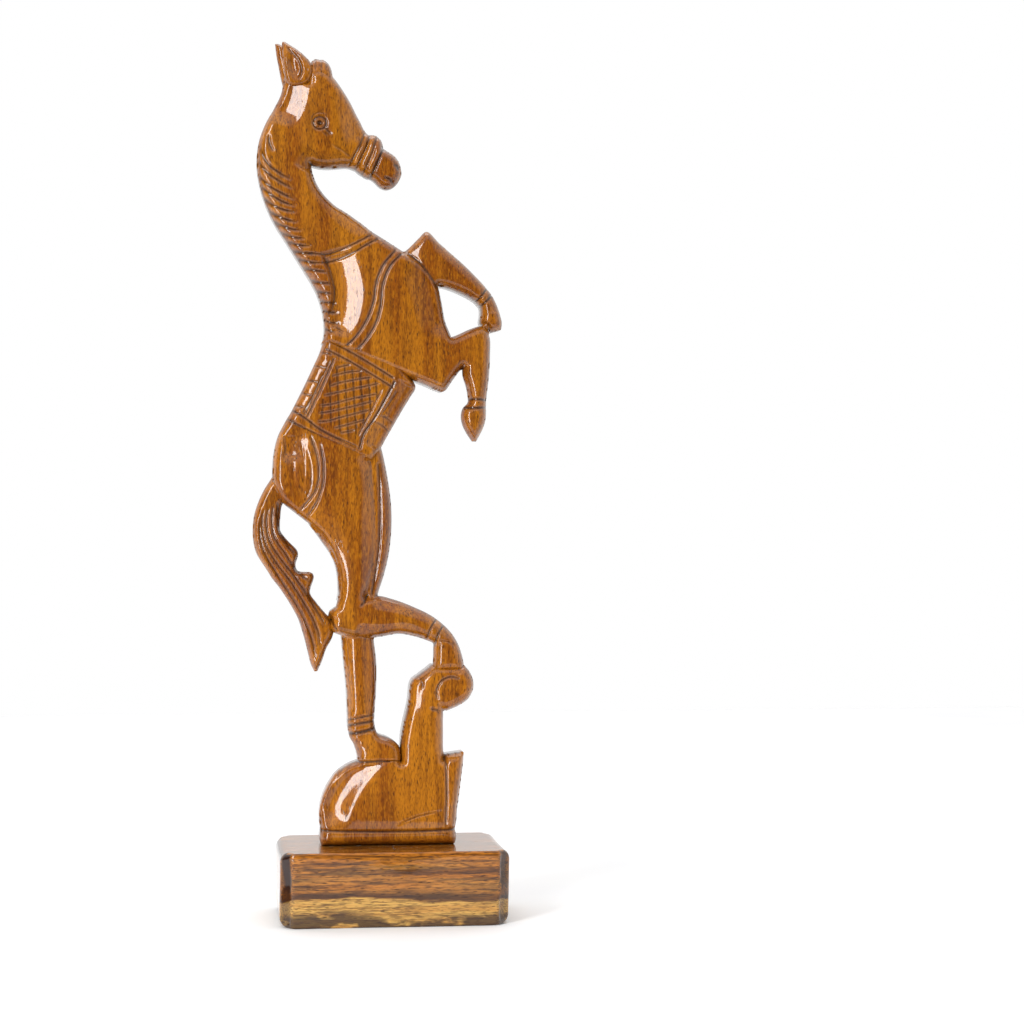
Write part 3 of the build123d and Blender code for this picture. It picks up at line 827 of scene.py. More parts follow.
        # Painted shade, with no cut: under the jaw, along the chest's lower edge and below the lifted
        # foreleg.
        painted_shade_and_stain_washes = [
            ([(-33.0, 242.0), (-27.5, 237.5), (-20.0, 236.5), (-14.0, 236.0)], 0.42, 6.5, 0.1),
            ([(-22.0, 175.5), (-10.0, 168.5), (2.0, 161.8), (12.0, 157.5)], 0.35, 3.0, 0.1),
            ([(15.5, 192.0), (17.2, 184.0), (18.4, 178.0)], 0.3, 3.0, 0.1),
        ]
        welts = [
            ([(-8.2, 246.8), (-9.8, 242.8), (-11.8, 238.6), (-13.6, 234.8)], 1.0, 1.8, 0.02),
            ([(-5.6, 246.4), (-7.4, 241.0), (-9.4, 236.6), (-11.2, 233.2)], 1.0, 2.2, 0.02),
            ([(-3.8, 245.4), (-5.2, 239.8), (-8.4, 232.2)], 1.0, 2.0, 0.02),
            ([(-26.6, 250.8), (-25.0, 251.7), (-23.4, 250.9)], 0.7, 1.3, 0.3),
        ]
        near_side = {
            "limbs": [(neck, ""), (head, ""), (chest, ""), (forearm, "start"), (cannon, "")],
            "edge": (2.7, 3.2),
            "crown": (4.5, 0.7),
            "facets": near_facets,
        }
        far_side = {
            "limbs": [(lifted, "start")],
            "edge": (2.4, 2.8),
            "crown": (5.0, 0.5),
            "facets": far_facets,
        }
        relief("horse_forehand", [near_side, far_side], cuts, welts, painted_shade_and_stain_washes, scale=1.15)
        return {"FINISHED"}


class HORSE_OT_blanket(bpy.types.Operator):
    """Carve the saddle blanket with its straps, fringe and lattice"""

    bl_idname = "horse.blanket"
    bl_label = "Carve Saddle Blanket"

    def execute(self, context):
        barrel = [
            (-22.4, 181.0, 3.0, 167.5, 8.4, 8.4), (-22.8, 178.0, 6.0, 163.5, 8.5, 8.5),
            (-23.4, 175.5, 8.4, 159.2, 8.6, 8.6),
            *at_depth(8.7, 8.7, [
                (-24.8, 171.0, 6.6, 155.6), (-26.9, 166.3, 4.3, 151.8), (-29.6, 160.5, 1.5, 147.0),
                (-32.4, 154.8, -1.5, 141.8), (-35.2, 149.4, -4.4, 136.6),
            ]),
            (-36.6, 147.0, -6.4, 133.6, 8.6, 8.6),
        ]
        facets = [
            ([(-10.6, 139.0), (-6.4, 148.4), (-1.2, 158.0), (1.2, 163.0)], 0.36, 9, 1.6),
            ([(-20.6, 168.0), (-24.6, 159.0), (-29.4, 149.0)], 0.26, 6, 1.6),
        ]
        cuts = [
            # Upper strap.
            ([(-23.6, 176.0), (-11.0, 169.0), (0.2, 162.2)], 1.1, 1.2, 0),
            ([(-22.6, 171.8), (-16.0, 168.4), (-9.0, 164.4), (0.2, 158.8)], 1.1, 1.1, 0),
            # Frame of the lattice.
            ([(-20.2, 168.4), (-24.3, 158.8), (-29.2, 148.6)], 1.0, 1.0, 0),
            ([(-21.6, 167.6), (-25.8, 158.4), (-30.4, 149.0)], 0.9, 0.9, 0),
            ([(-23.8, 163.8), (-27.2, 156.0), (-31.2, 149.2)], 1.0, 1.0, 0.1),
            ([(0.8, 160.6), (-2.6, 154.2), (-6.4, 147.6), (-9.8, 142.6), (-11.3, 137.6)], 1.2, 1.3, 0),
            ([(1.9, 157.6), (-1.0, 153.0), (-3.8, 149.2)], 0.8, 1.0, 0.2),
            ([(-3.4, 158.4), (-7.2, 150.6), (-12.0, 141.4)], 0.8, 0.9, 0.1),
            # Lower strap.
            ([(-36.4, 151.8), (-30.0, 148.0), (-26.6, 145.3), (-12.4, 138.0)], 1.2, 1.2, 0),
            ([(-29.0, 145.9), (-21.0, 142.2), (-12.6, 138.0)], 0.6, 0.9, 0.2),
            ([(-37.6, 148.6), (-29.9, 144.2), (-13.3, 136.3), (-6.0, 132.4)], 1.2, 1.2, 0),
            # Tassels on the girth.
            ([(-4.2, 149.0), (-1.9, 148.3), (0.9, 145.8)], 0.9, 1.0, 0.2),
            ([(-6.1, 147.0), (-2.7, 145.1), (-0.2, 142.6)], 0.9, 1.0, 0.2),
        ]
        level_lines = [
            [(-26.4, 146.7), (-22.0, 147.1), (-18.2, 148.2), (-13.9, 149.3), (-7.4, 151.0)],
            [(-20.2, 144.5), (-16.0, 145.6), (-8.8, 147.6)],
            [(-17.9, 142.9), (-12.9, 143.9)],
            [(-25.7, 149.6), (-22.0, 150.2), (-14.4, 151.9), (-6.0, 154.1)],
            [(-25.3, 152.3), (-21.7, 152.7), (-14.4, 154.6), (-4.6, 156.6)],
            [(-23.9, 155.8), (-19.8, 156.7), (-15.5, 157.7), (-4.2, 160.2)],
            [(-21.9, 159.0), (-18.2, 160.2), (-13.9, 161.1), (-6.6, 162.4)],
            [(-20.8, 162.6), (-15.4, 163.9), (-10.4, 164.4)],
            [(-19.4, 165.4), (-14.6, 166.6)],
        ]
        upright_lines = [
            [(-23.9, 154.9), (-24.4, 147.6)],
            [(-21.6, 161.8), (-21.2, 145.6)],
            [(-19.2, 166.4), (-18.2, 142.9)],
            [(-16.6, 167.6), (-15.2, 140.6)],
            [(-13.9, 165.8), (-12.4, 141.6)],
            [(-11.2, 164.4), (-9.8, 145.6)],
            [(-8.4, 162.8), (-7.4, 150.4)],
            [(-5.8, 161.0), (-5.2, 154.6)],
        ]
        # The upright lines are shallower and more deeply stained than the level ones.
        cuts += [(line, 0.95, 1.0, 0.08) for line in level_lines]
        cuts += [(line, 0.28, 0.9, 0.05) for line in upright_lines]
        painted_shade_and_stain_washes = [(line, 1.0, 1.05, 0.05) for line in upright_lines]
        fringe = [
            [(-24.6, 170.8), (-20.8, 170.0)],
            [(-27.0, 166.2), (-22.6, 165.4)],
            [(-29.4, 161.2), (-24.6, 160.2)],
            [(-31.6, 156.8), (-26.8, 155.6)],
            [(-33.8, 152.4), (-29.2, 151.6)],
        ]
        cuts += [(line, 0.9, 1.1, 0.1) for line in fringe]
        cloth = {
            "limbs": [(barrel, "start end")],
            "edge": (2.6, 3.0),
            "crown": (6.0, 0.8),
            "facets": facets,
        }
        relief("horse_blanket", [cloth], cuts, painted_shade_and_stain_washes=painted_shade_and_stain_washes, scale=0.85)
        return {"FINISHED"}


class HORSE_OT_hindquarters(bpy.types.Operator):
    """Carve the rump with its crupper strap, the raised hind leg and the standing hind leg"""

    bl_idname = "horse.hindquarters"
    bl_label = "Carve Hindquarters"

    def execute(self, context):
        thigh = [
            (-33.0, 152.5, -7.0, 140.0, 7.4, 7.4), (-35.8, 148.5, -7.6, 136.5, 7.8, 7.8),
            (-37.2, 146.0, -6.6, 132.6, 8.2, 8.2), (-39.2, 142.0, -6.3, 127.5, 8.9, 8.7),
            (-40.5, 137.0, -5.9, 121.5, 9.2, 8.8), (-41.1, 131.0, -5.4, 114.5, 9.3, 8.8),
            (-40.9, 125.0, -5.1, 108.5, 9.3, 8.8), (-38.2, 119.4, -5.3, 103.2, 9.3, 8.6),
            (-33.3, 115.3, -5.8, 99.5, 9.3, 7.6), (-28.0, 111.1, -6.3, 96.2, 9.3, 5.0),
            *at_depth(9.3, 2.0, [
                (-23.2, 105.9, -7.0, 92.8), (-19.9, 99.5, -7.9, 89.5), (-18.3, 93.0, -8.8, 86.8),
                (-18.3, 87.0, -8.6, 83.0), (-19.6, 81.5, -8.0, 79.5),
            ]),
            (-20.6, 77.5, -8.0, 76.0, 9.2, 2.0),
        ]
        shin = [
            *at_depth(9.3, 0.4, [
                (-16.0, 84.0, -20.8, 79.0), (-11.5, 85.6, -21.0, 75.0), (-4.5, 86.4, -17.8, 72.9),
                (0.0, 85.4, -11.0, 71.6), (4.5, 83.9, -3.5, 72.3), (8.5, 82.2, 2.5, 73.2),
                (12.5, 80.3, 8.0, 72.3), (15.8, 78.2, 12.3, 70.9), (18.8, 75.7, 14.5, 69.8),
                (21.2, 73.0, 14.6, 67.8), (23.2, 69.6, 14.6, 65.6),
            ]),
            (24.5, 66.0, 14.5, 63.8, 9.2, 0.4), (25.3, 62.2, 14.4, 61.8, 9.1, 0.4),
            (25.4, 60.0, 14.4, 59.6, 8.9, 0.4),
        ]
        stifle = [
            (-17.0, 84.0, -20.9, 78.2, 9.0, 5.0), (-19.5, 82.6, -21.8, 76.6, 8.4, 5.0),
            (-21.4, 81.2, -23.0, 75.6, 6.4, 5.0),
        ]
        standing = [
            *at_depth(6.2, 8.9, [
                (-33.0, 144.0, -5.0, 143.0), (-31.0, 134.0, -3.2, 137.0), (-33.0, 125.0, -1.3, 128.0),
                (-30.0, 114.0, 0.1, 117.0), (-24.5, 106.0, 0.0, 107.5), (-20.0, 99.0, -1.1, 99.3),
                (-18.5, 93.0, -2.9, 92.3), (-18.2, 87.0, -4.4, 87.8), (-17.8, 82.0, -5.6, 83.0),
            ]),
            (-17.2, 72.5, -6.1, 72.5, 6.6, 8.9), (-16.4, 63.6, -5.2, 63.5, 6.8, 8.9),
            (-15.4, 53.0, -5.3, 53.0, 7.0, 8.9), (-15.1, 45.0, -5.8, 46.0, 7.2, 8.9),
            (-15.0, 40.5, -5.8, 41.5, 7.4, 8.9), (-14.4, 37.3, -4.8, 38.6, 7.8, 8.9),
            (-13.0, 34.8, -0.5, 36.8, 8.4, 8.9), (-12.1, 32.0, 2.6, 34.2, 8.8, 9.0),
            (-11.7, 30.0, 3.3, 31.0, 9.0, 9.0), (-11.6, 28.8, 3.3, 28.8, 9.0, 9.0),
            (-11.6, 26.5, 3.3, 26.5, 8.8, 9.0),
        ]
        near_facets = [
            ([(-10.2, 84.5), (-10.6, 93.0), (-10.8, 114.0),
              (-10.4, 125.0), (-11.2, 130.0), (-12.6, 135.4)], 0.42, 7, 2.0),
            ([(-31.0, 124.0), (-25.8, 120.4), (-18.6, 112.2),
              (-15.0, 102.7), (-14.5, 93.2), (-16.0, 83.0)], 0.22, 8, 6.0),
            ([(-29.6, 147.0), (-28.4, 140.0), (-28.8, 130.0)], 0.36, 5, 7.0),
            ([(19.0, 70.6), (14.5, 75.2), (5.0, 79.4), (-7.5, 82.0)], 0.42, 4, 1.6),
            ([(-12.5, 77.0), (-4.0, 76.4), (6.0, 76.6), (13.0, 73.4)], 0.5, 4, 1.6),
        ]
        far_facets = [
            ([(-5.0, 88.0), (-2.9, 100.0), (-2.6, 118.0), (-4.0, 134.0)], 0.4, 4, 1.6),
            ([(-9.6, 44.0), (-10.4, 58.0), (-11.4, 77.0)], 0.35, 5, 1.6),
            ([(-13.6, 77.0), (-13.0, 60.0), (-12.4, 45.0)], 0.62, 4, 2.0),
        ]
        lumps = [(-32.2, 121.0, 2.6, 4.2, 15, -0.9), (-34.6, 131.0, 1.2, 7.0, 4, -0.5)]
        cuts = [
            # Crupper strap and the folds in the rump.
            ([(-28.4, 142.6), (-26.0, 135.0), (-25.3, 129.0),
              (-26.4, 123.2), (-29.8, 118.5), (-32.4, 115.2)], 1.0, 1.1, 0.1),
            ([(-25.0, 140.0), (-23.8, 131.3), (-24.1, 125.1),
              (-25.5, 120.4), (-29.8, 113.0)], 1.0, 1.1, 0.1),
            ([(-29.4, 137.0), (-28.0, 130.0), (-28.6, 123.0), (-31.0, 118.0)], 0.6, 0.9, 0.3),
            ([(-31.2, 139.5), (-30.4, 131.0), (-30.6, 124.5)], 0.5, 0.9, 0.3),
            ([(-39.8, 119.9), (-36.6, 116.3)], 1.2, 1.2, 0.2),
            # The standing leg parts from the raised one, and the hock from the stifle.
            ([(-4.6, 133.0), (-4.0, 120.0), (-4.2, 106.0), (-6.0, 92.0), (-7.0, 86.4)], 1.0, 1.6, 0.02),
            ([(-8.0, 87.6), (-9.6, 84.6), (-11.2, 82.6)], 1.2, 1.1, 0.2),
            ([(-23.0, 80.6), (-22.4, 77.4), (-21.4, 73.6)], 1.4, 1.1, 0),
            ([(-21.4, 80.8), (-20.6, 77.6), (-19.0, 74.4)], 1.2, 1.1, 0.1),
            # Bands of the raised leg.
            ([(12.2, 72.0), (13.6, 75.8), (16.4, 79.2)], 1.2, 1.1, 0),
            ([(14.8, 69.2), (16.0, 73.3), (18.6, 76.9)], 1.2, 1.1, 0),
            ([(16.2, 71.0), (19.5, 70.6), (22.5, 68.7)], 0.7, 0.9, 0.2),
            # Bands and hoof of the standing leg.
            ([(-15.6, 43.4), (-11.0, 44.4), (-5.0, 45.4)], 1.0, 1.1, 0),
            ([(-15.6, 41.4), (-11.0, 42.4), (-5.0, 43.2)], 1.2, 1.3, 0),
            ([(-15.4, 38.6), (-11.0, 39.3), (-4.6, 40.9)], 1.4, 1.5, 0),
            ([(-13.0, 28.9), (-4.0, 29.3), (4.5, 28.9)], 1.2, 1.2, 0),
        ]
        near_side = {
            "limbs": [(thigh, "start"), (shin, ""), (stifle, "")],
            "edge": (2.6, 3.2),
            "crown": (7.0, 1.0),
            "facets": near_facets,
            "lumps": lumps,
        }
        far_side = {
            "limbs": [(standing, "start")],
            "edge": (2.4, 2.8),
            "crown": (5.0, 0.6),
            "facets": far_facets,
        }
        # Painted shade, with no cut: along the underside of the raised shin and in the dent of the rump.
        painted_shade_and_stain_washes = [
            ([(-20.0, 75.5), (-10.0, 73.2), (0.0, 72.6), (11.0, 71.6)], 0.4, 5.0, 0.1),
            ([(-32.6, 126.0), (-32.0, 120.0)], 0.35, 3.5, 0.3),
        ]
        relief("horse_hindquarters", [near_side, far_side], cuts, painted_shade_and_stain_washes=painted_shade_and_stain_washes)
        return {"FINISHED"}


class HORSE_OT_tail(bpy.types.Operator):
    """Carve the long tail with its locks of hair"""

    bl_idname = "horse.tail"
    bl_label = "Carve Tail"

    def execute(self, context):
        tail = [
            (-39.0, 132.0, -34.0, 125.0, 5.6, 5.4), (-41.4, 127.4, -36.4, 120.5, 5.8, 5.6),
            *at_depth(6.0, 5.8, [
                (-44.0, 123.3, -38.0, 117.5), (-46.0, 119.0, -38.4, 114.3),
                (-47.6, 113.5, -38.6, 111.0), (-47.9, 107.5, -38.2, 108.6),
                (-47.3, 103.3, -36.0, 105.8), (-46.0, 100.0, -32.6, 102.2), (-44.6, 97.8, -32.3, 100.8),
                (-42.9, 95.2, -33.2, 96.9), (-41.8, 93.4, -32.4, 95.2), (-40.7, 91.8, -27.4, 94.4),
                (-39.4, 90.2, -26.9, 93.2), (-37.4, 87.4, -28.2, 87.6), (-35.4, 84.3, -26.0, 84.2),
                (-33.6, 81.2, -23.2, 80.8), (-32.1, 78.2, -20.8, 78.0), (-30.9, 74.5, -20.0, 74.6),
            ]),
            (-29.8, 70.7, -20.6, 71.8, 5.8, 5.6), (-28.7, 66.2, -22.6, 68.0, 5.6, 5.4),
            (-27.7, 62.4, -24.2, 63.4, 5.4, 5.2), (-26.6, 60.2, -25.6, 60.3, 5.0, 5.0),
        ]
        locks = [
            [(-39.3, 119.4), (-39.6, 114.2), (-38.4, 108.0), (-36.0, 104.1), (-33.0, 100.3)],
            [(-40.8, 118.4), (-41.5, 112.3), (-40.3, 106.5),
             (-36.9, 101.3), (-33.1, 95.6), (-27.9, 91.3)],
            [(-42.2, 118.0), (-43.4, 112.3), (-42.2, 105.6),
             (-38.4, 99.4), (-33.6, 93.2), (-29.3, 87.0), (-22.6, 75.5)],
            [(-44.1, 117.0), (-44.8, 111.3), (-43.6, 104.6), (-39.8, 97.9),
             (-35.5, 92.2), (-31.2, 85.5), (-25.5, 74.1), (-24.5, 68.0)],
            [(-45.4, 114.2), (-45.6, 108.4), (-44.1, 101.8), (-40.3, 95.1),
             (-36.0, 88.4), (-32.2, 82.2), (-27.4, 70.5), (-26.2, 64.0)],
        ]
        cuts = [(line, 1.0, 1.5, 0.08) for line in locks]
        hair = {"limbs": [(tail, "start")], "edge": (2.0, 2.4), "crown": (5.0, 0.5)}
        relief("horse_tail", [hair], cuts, scale=0.9)
        return {"FINISHED"}


class HORSE_OT_stump(bpy.types.Operator):
    """Carve the tree stump, its broken column, the foot band and the hoof that rests on it"""

    bl_idname = "horse.stump"
    bl_label = "Carve Stump"

    def execute(self, context):
        body = [
            (-11.8, 28.9, 18.6, 29.8, 9.2, 9.2), (-15.5, 27.3, 24.4, 28.0, 9.3, 9.3),
            *at_depth(9.4, 9.4, [
                (-18.5, 25.2, 24.6, 26.0), (-21.0, 22.0, 24.1, 22.5), (-23.5, 17.5, 23.4, 17.5),
                (-24.8, 12.5, 22.9, 12.5), (-24.9, 7.5, 22.5, 7.5),
            ]),
            (-24.6, 5.3, 22.1, 5.3, 9.3, 9.3), (-24.9, 3.0, 22.5, 3.0, 9.4, 9.4),
            (-24.6, 0.9, 22.2, 0.9, 9.3, 9.3), (-24.2, 0.1, 21.8, 0.1, 9.2, 9.2),
        ]
        column = [
            (14.2, 62.4, 24.8, 62.4, 8.8, 8.8), (13.2, 61.4, 25.0, 58.0, 9.1, 9.1),
            *at_depth(9.3, 9.3, [
                (10.0, 59.0, 22.0, 53.0), (7.2, 56.6, 18.6, 49.0), (6.0, 49.0, 18.0, 44.0),
                (4.4, 42.0, 18.0, 39.0), (3.4, 36.0, 18.0, 34.0), (3.2, 30.0, 18.2, 30.0),
                (3.0, 22.0, 18.4, 22.0),
            ]),
        ]
        step = [
            (18.4, 30.9, 25.2, 31.8, 8.9, 8.9), (18.0, 28.0, 25.0, 28.6, 9.1, 9.1),
            (17.5, 22.0, 24.2, 22.0, 9.2, 9.2), (17.0, 14.0, 23.2, 14.0, 9.2, 9.2),
        ]
        hoof = [
            (19.4, 60.6, 25.4, 62.2, 9.2, 4.0), (16.6, 58.2, 27.3, 59.8, 9.4, 4.0),
            *at_depth(9.5, 4.0, [
                (14.9, 55.0, 28.5, 56.6), (14.2, 52.0, 28.3, 53.4), (14.1, 50.0, 26.6, 50.4),
                (14.8, 48.2, 23.0, 48.0),
            ]),
            (16.2, 46.6, 19.2, 46.4, 9.3, 4.0),
        ]
        facets = [
            ([(2.0, 31.0), (-5.5, 25.0), (-12.5, 15.5), (-16.5, 3.0)], 0.55, 6, 9.0),
            ([(14.6, 63.5), (12.0, 55.0), (10.6, 47.5), (10.0, 42.0)], 0.33, 4, 6.0),
            ([(14.6, 31.0), (14.8, 45.0)], 0.3, 4, 1.6),
        ]
        cuts = [
            # Foot band, a crack, and the edge of the step.
            ([(-30.0, 5.8), (-10.0, 5.1), (10.0, 5.0), (28.0, 5.6)], 1.2, 1.2, 0),
            ([(1.6, 7.2), (8.0, 9.8), (17.2, 11.9)], 0.8, 0.7, 0.3),
            ([(18.6, 31.0), (18.9, 18.0), (18.6, 6.0)], 1.1, 1.2, 0.1),
            # Around the hoof that rests on the stump.
            ([(12.9, 47.4), (15.0, 47.0), (17.0, 46.4)], 1.1, 1.1, 0.3),
            ([(15.8, 50.0), (15.4, 53.6), (17.4, 57.2), (20.8, 58.4), (23.6, 57.6)], 1.1, 1.1, 0.15),
            ([(13.8, 62.6), (19.0, 61.8), (25.6, 62.4)], 1.2, 1.2, 0),
            ([(9.4, 58.4), (10.6, 56.2), (10.2, 54.2)], 0.8, 1.0, 0.2),
        ]
        wood = {
            "limbs": [(body, ""), (column, ""), (step, "end")],
            "edge": (2.6, 3.0),
            "crown": (6.0, 0.7),
            "facets": facets,
        }
        ball = {"limbs": [(hoof, "")], "edge": (2.8, 3.0), "crown": (5.0, 0.8)}
        relief("horse_stump", [wood, ball], cuts)
        return {"FINISHED"}


class HORSE_OT_base(bpy.types.Operator):
    """Shape the base block with rounded ends, pared corners and countersunk screw holes"""

    bl_idname = "horse.base"
    bl_label = "Shape Base Block"

    def execute(self, context):
        settings = context.scene.carving
        length, depth, height = (BASE_HIGH - BASE_LOW) / MM
        corner = settings.base_corner / MM
        side_radius = settings.base_side_radius / MM
        end_radius = settings.base_end_radius / MM

        plan_step = 0.6
        flat_rings = np.linspace(0.02, 0.985, 44)
        turn = np.linspace(0, math.pi / 2, 7)
        top = height - 0.02
        sink_radius = 4.8
        sink_depth = 2.8

        # The plan is a rectangle with its corners pared flat, walked round in short steps and then
        # smoothed, because the corners are worn.
        a, b = length / 2, depth / 2
        corners = np.array([(corner - a, -b), (a - corner, -b), (a, corner - b), (a, b - corner)])
        corners = np.vstack((corners, -corners))
        sides = []
        for start, leg in zip(corners, np.roll(corners, -1, axis=0) - corners):
            steps = int(np.linalg.norm(leg) / plan_step) + 2
            sides.append(start + leg * np.linspace(0, 1, steps)[:-1, None])
        plan = np.vstack(sides)
        for _ in range(8):
            plan = (np.roll(plan, 1, axis=0) + 2 * plan + np.roll(plan, -1, axis=0)) / 4
        along = np.roll(plan, -1, axis=0) - np.roll(plan, 1, axis=0)
        outward = np.stack((along[:, 1], -along[:, 0]), -1)
        outward /= np.linalg.norm(outward, axis=1, keepdims=True)
        radius = side_radius + (end_radius - side_radius) * outward[:, 0] ** 2
        radius = sum(np.roll(radius, shift) for shift in range(-2, 3)) / 5
        inner = plan - outward * radius[:, None]
        round_off = outward * radius[:, None]

        # Rings run from the middle of the underside, round the lower edge, up, and in over the top.
        # Each has its plan, its levels and its share of the corners' wear.
        rings = [(inner * share, 0 * radius, 0.0) for share in flat_rings]
        for s, c in zip(np.sin(turn), np.cos(turn)):
            rings.append((plan - round_off * (1 - s), radius * (1 - c), 1.0))
        for share in np.linspace(0, 1, 14)[1:-1]:
            rings.append((plan, radius + (height - 2 * radius) * share, 1.0))
        for s, c in zip(np.sin(turn), np.cos(turn)):
            rings.append((plan - round_off * (1 - c), height - radius * (1 - s), 1.0))
        rings += [(inner * share, 0 * radius + height, share**3) for share in flat_rings[::-1]]
        flat = np.array([ring[0] for ring in rings])
        level = np.array([ring[1] for ring in rings])
        wear = np.array([ring[2] for ring in rings])[:, None]

        # Hand-sawn faces are not quite flat: they are in by up to 0.36 mm, in waves 55 to 70 mm long.
        wave = np.sin(flat[..., 0] / 9.0 + level / 7.0) * np.sin(flat[..., 1] / 11.0 + 1.0)
        flat = flat - np.sign(flat) * (0.18 + 0.18 * wave[..., None])

        # The pared corners are chipped by up to 1.1 mm, and more at some levels than at others.
        pared = np.clip(1.25 - np.abs(np.abs(outward[:, 0]) - 0.7) / 0.25, 0, 1)
        chip = np.sin(level * 0.42 + 2.2 * np.sign(flat[..., 0]) + flat[..., 1] / 9.0)
        pull = 0.55 * (1 + chip) * pared * np.clip(level / 2, 0, 1) * wear
        flat = flat - outward * pull[..., None]

        # The screw heads sit in 45 degree countersinks.
        under = np.zeros(level.shape)
        for name in SCREWS:
            middle = np.mean([end[0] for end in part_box(name)]) / MM
            away = np.hypot(flat[..., 0] - middle, flat[..., 1])
            under = np.maximum(under, np.clip(sink_radius - away, 0, sink_depth))
        level = level + np.where(level < 0.001, under, 0)
        level = np.where(level >= height - 0.001, top, level)

        count, ring = level.shape
        world = np.concatenate((flat, level[..., None]), -1).reshape(-1, 3) * MM
        tips = np.array(((0, 0, 0), (0, 0, top * MM)))
        i, j = np.meshgrid(np.arange(count - 1), np.arange(ring), indexing="ij")
        after = (j + 1) % ring
        here, there = i * ring + j, i * ring + after
        quads = np.stack((here, there, there + ring, here + ring), -1)
        k = np.arange(ring)
        last = (count - 1) * ring
        under_fan = np.stack(((k + 1) % ring, k, np.full(ring, count * ring)), -1)
        over_fan = np.stack((last + k, last + (k + 1) % ring, np.full(ring, count * ring + 1)), -1)
        faces = quads.reshape(-1, 4).tolist() + under_fan.tolist() + over_fan.tolist()

        # The pared corners and the worn top ends took more stain than the faces, and took the most
        # on the left and in the upper half.
        worn = np.clip(np.abs(flat[..., 0]) / a * 30 - 28.3, 0, 1) * (level > height - 2.6)
        mottle = 0.74 - 0.12 * np.sign(flat[..., 0]) + 0.22 * np.tanh((level - 12) / 3)
        stain = np.maximum(pared * (level > 0.3) * (level < height - 0.3), 0.8 * worn)
        stain = np.clip(stain * mottle, 0, 1)
        stain = np.append(stain.reshape(-1), (0.0, 0.0))
        block = add_mesh("base_block_wood", np.vstack((world, tips)), faces, base_block_wood(), stain)
        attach(block, "root")
        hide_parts("base_block")
        return {"FINISHED"}


class HORSE_OT_screws(bpy.types.Operator):
    """Finish the two wood screws in yellow zinc plate"""

    bl_idname = "horse.screws"
    bl_label = "Finish Screws"

    def execute(self, context):
        steel = plated_screw_steel()
        for name in SCREWS:
            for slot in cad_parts[name].material_slots:
                slot.material = steel
        return {"FINISHED"}


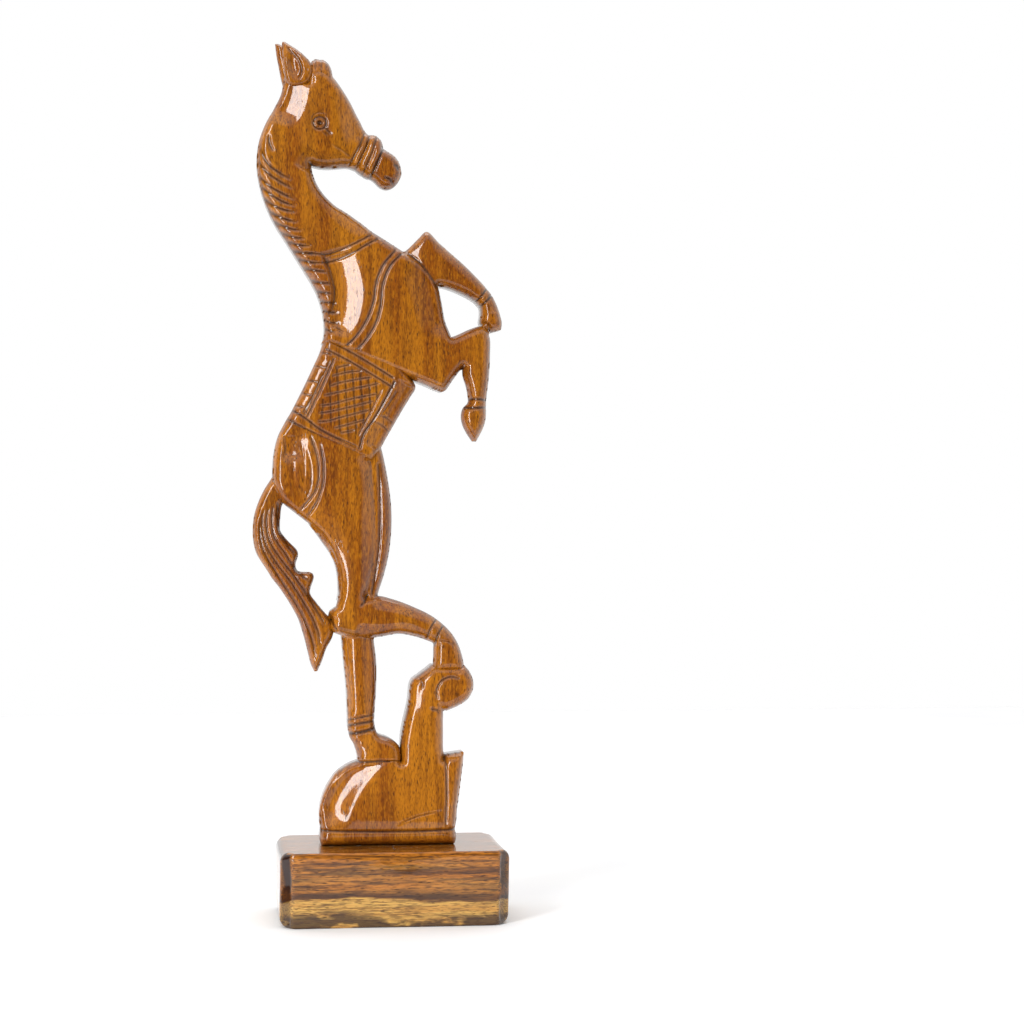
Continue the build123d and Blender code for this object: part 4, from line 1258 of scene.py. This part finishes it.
class HORSE_OT_stage(bpy.types.Operator):
    """Set the white floor, the soft lights, the bright room and the camera"""

    bl_idname = "horse.stage"
    bl_label = "Set Stage"

    def execute(self, context):
        # The paper ends just in front of the figurine, so that its glare doesn't veil the wood.
        scene = context.scene
        rim = np.array([(-2.0, -0.24, 0.0), (2.0, -0.24, 0.0), (2.0, 0.9, 0.0), (-2.0, 0.9, 0.0)])
        floor = add_mesh("table_paper", rim, [[0, 1, 2, 3]], studio_paper())

        # Each light is (place, width, height, watts) and faces the middle of the figurine.
        for name, place, width, height, power in (
            ("softbox_left", (-0.68, -0.86, 0.34), 0.28, 1.0, 12.5),
            ("softbox_top", (0.0, 0.5, 1.3), 1.0, 0.6, 3.0),
        ):
            light = bpy.data.lights.new(name, "AREA")
            light.shape = "RECTANGLE"
            light.size = width
            light.size_y = height
            light.energy = power
            lamp = bpy.data.objects.new(name, light)
            lamp.location = place
            aim = np.array((0.0, 0.0, 0.15)) - np.array(place)
            tilt = math.atan2(math.hypot(aim[0], aim[1]), -aim[2])
            lamp.rotation_euler = (tilt, 0.0, math.atan2(-aim[0], aim[1]))
            scene.collection.objects.link(lamp)

        # The room is bright overhead, behind and on the right, and dark behind the camera.
        world = bpy.data.worlds.new("white_room")
        world.use_nodes = True
        tree = world.node_tree
        tree.nodes.clear()
        heading = add_node(tree, "ShaderNodeTexCoord").outputs["Generated"]
        toward = add_node(
            tree, "ShaderNodeVectorMath", {0: heading, 1: (0.8, 1.0, 0.0)}, operation="DOT_PRODUCT"
        ).outputs["Value"]
        limits = {"Value": toward, "From Min": -0.7, "From Max": 0.15, "To Min": 0.02, "To Max": 0.9}
        walls = add_node(tree, "ShaderNodeMapRange", limits, interpolation_type="SMOOTHSTEP").outputs[0]
        height = add_node(tree, "ShaderNodeSeparateXYZ", {"Vector": heading}).outputs["Z"]
        limits = {"Value": height, "From Min": 0.35, "From Max": 0.75, "To Max": 1.15}
        ceiling = add_node(tree, "ShaderNodeMapRange", limits, interpolation_type="SMOOTHSTEP").outputs[0]
        glow = add_node(tree, "ShaderNodeMath", {0: walls, 1: ceiling}, operation="MAXIMUM").outputs[0]
        seen = add_node(tree, "ShaderNodeLightPath").outputs["Is Camera Ray"]
        strength = add_node(tree, "ShaderNodeMath", {0: glow, 1: seen}, operation="MAXIMUM").outputs[0]
        sky = add_node(tree, "ShaderNodeBackground", {"Color": linear("#FFFFFF"), "Strength": strength})
        add_node(tree, "ShaderNodeOutputWorld", {"Surface": sky.outputs[0]})
        scene.world = world
        scene.view_settings.view_transform = "Standard"

        # The camera stands 0.89 m off, level with the figurine's middle, turned 7 degrees right.
        camera = bpy.data.cameras.new("camera")
        camera.sensor_width = 36.0
        camera.lens = 89.6
        eye = bpy.data.objects.new("camera", camera)
        eye.location = (-0.0664, -0.8895, 0.1411)
        eye.rotation_euler = (math.radians(90), 0.0, math.radians(-7.0))
        scene.collection.objects.link(eye)
        scene.camera = eye
        return {"FINISHED"}


class HORSE_PT_carving(bpy.types.Panel):
    """Lists the steps of the carving"""

    bl_label = "Carved Horse"
    bl_idname = "HORSE_PT_carving"
    bl_space_type = "VIEW_3D"
    bl_region_type = "UI"
    bl_category = "Carving"

    def draw(self, context):
        for step in STEPS:
            self.layout.operator(step.bl_idname)


STEPS = (
    HORSE_OT_forehand,
    HORSE_OT_ears,
    HORSE_OT_blanket,
    HORSE_OT_hindquarters,
    HORSE_OT_tail,
    HORSE_OT_stump,
    HORSE_OT_base,
    HORSE_OT_screws,
    HORSE_OT_stage,
)
CLASSES = (CarvingSettings, WoodSettings, *STEPS, HORSE_PT_carving)


def register():
    for cls in CLASSES:
        bpy.utils.register_class(cls)
    bpy.types.Scene.carving = bpy.props.PointerProperty(type=CarvingSettings)
    bpy.types.Scene.woods = bpy.props.PointerProperty(type=WoodSettings)


def unregister():
    del bpy.types.Scene.woods
    del bpy.types.Scene.carving
    for cls in reversed(CLASSES):
        bpy.utils.unregister_class(cls)


def main():
    """Carve every piece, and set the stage."""
    register()
    bpy.ops.horse.forehand()
    bpy.ops.horse.ears()
    bpy.ops.horse.blanket()
    bpy.ops.horse.hindquarters()
    bpy.ops.horse.tail()
    bpy.ops.horse.stump()
    bpy.ops.horse.base()
    bpy.ops.horse.screws()
    bpy.ops.horse.stage()


if __name__ == "__main__":
    main()
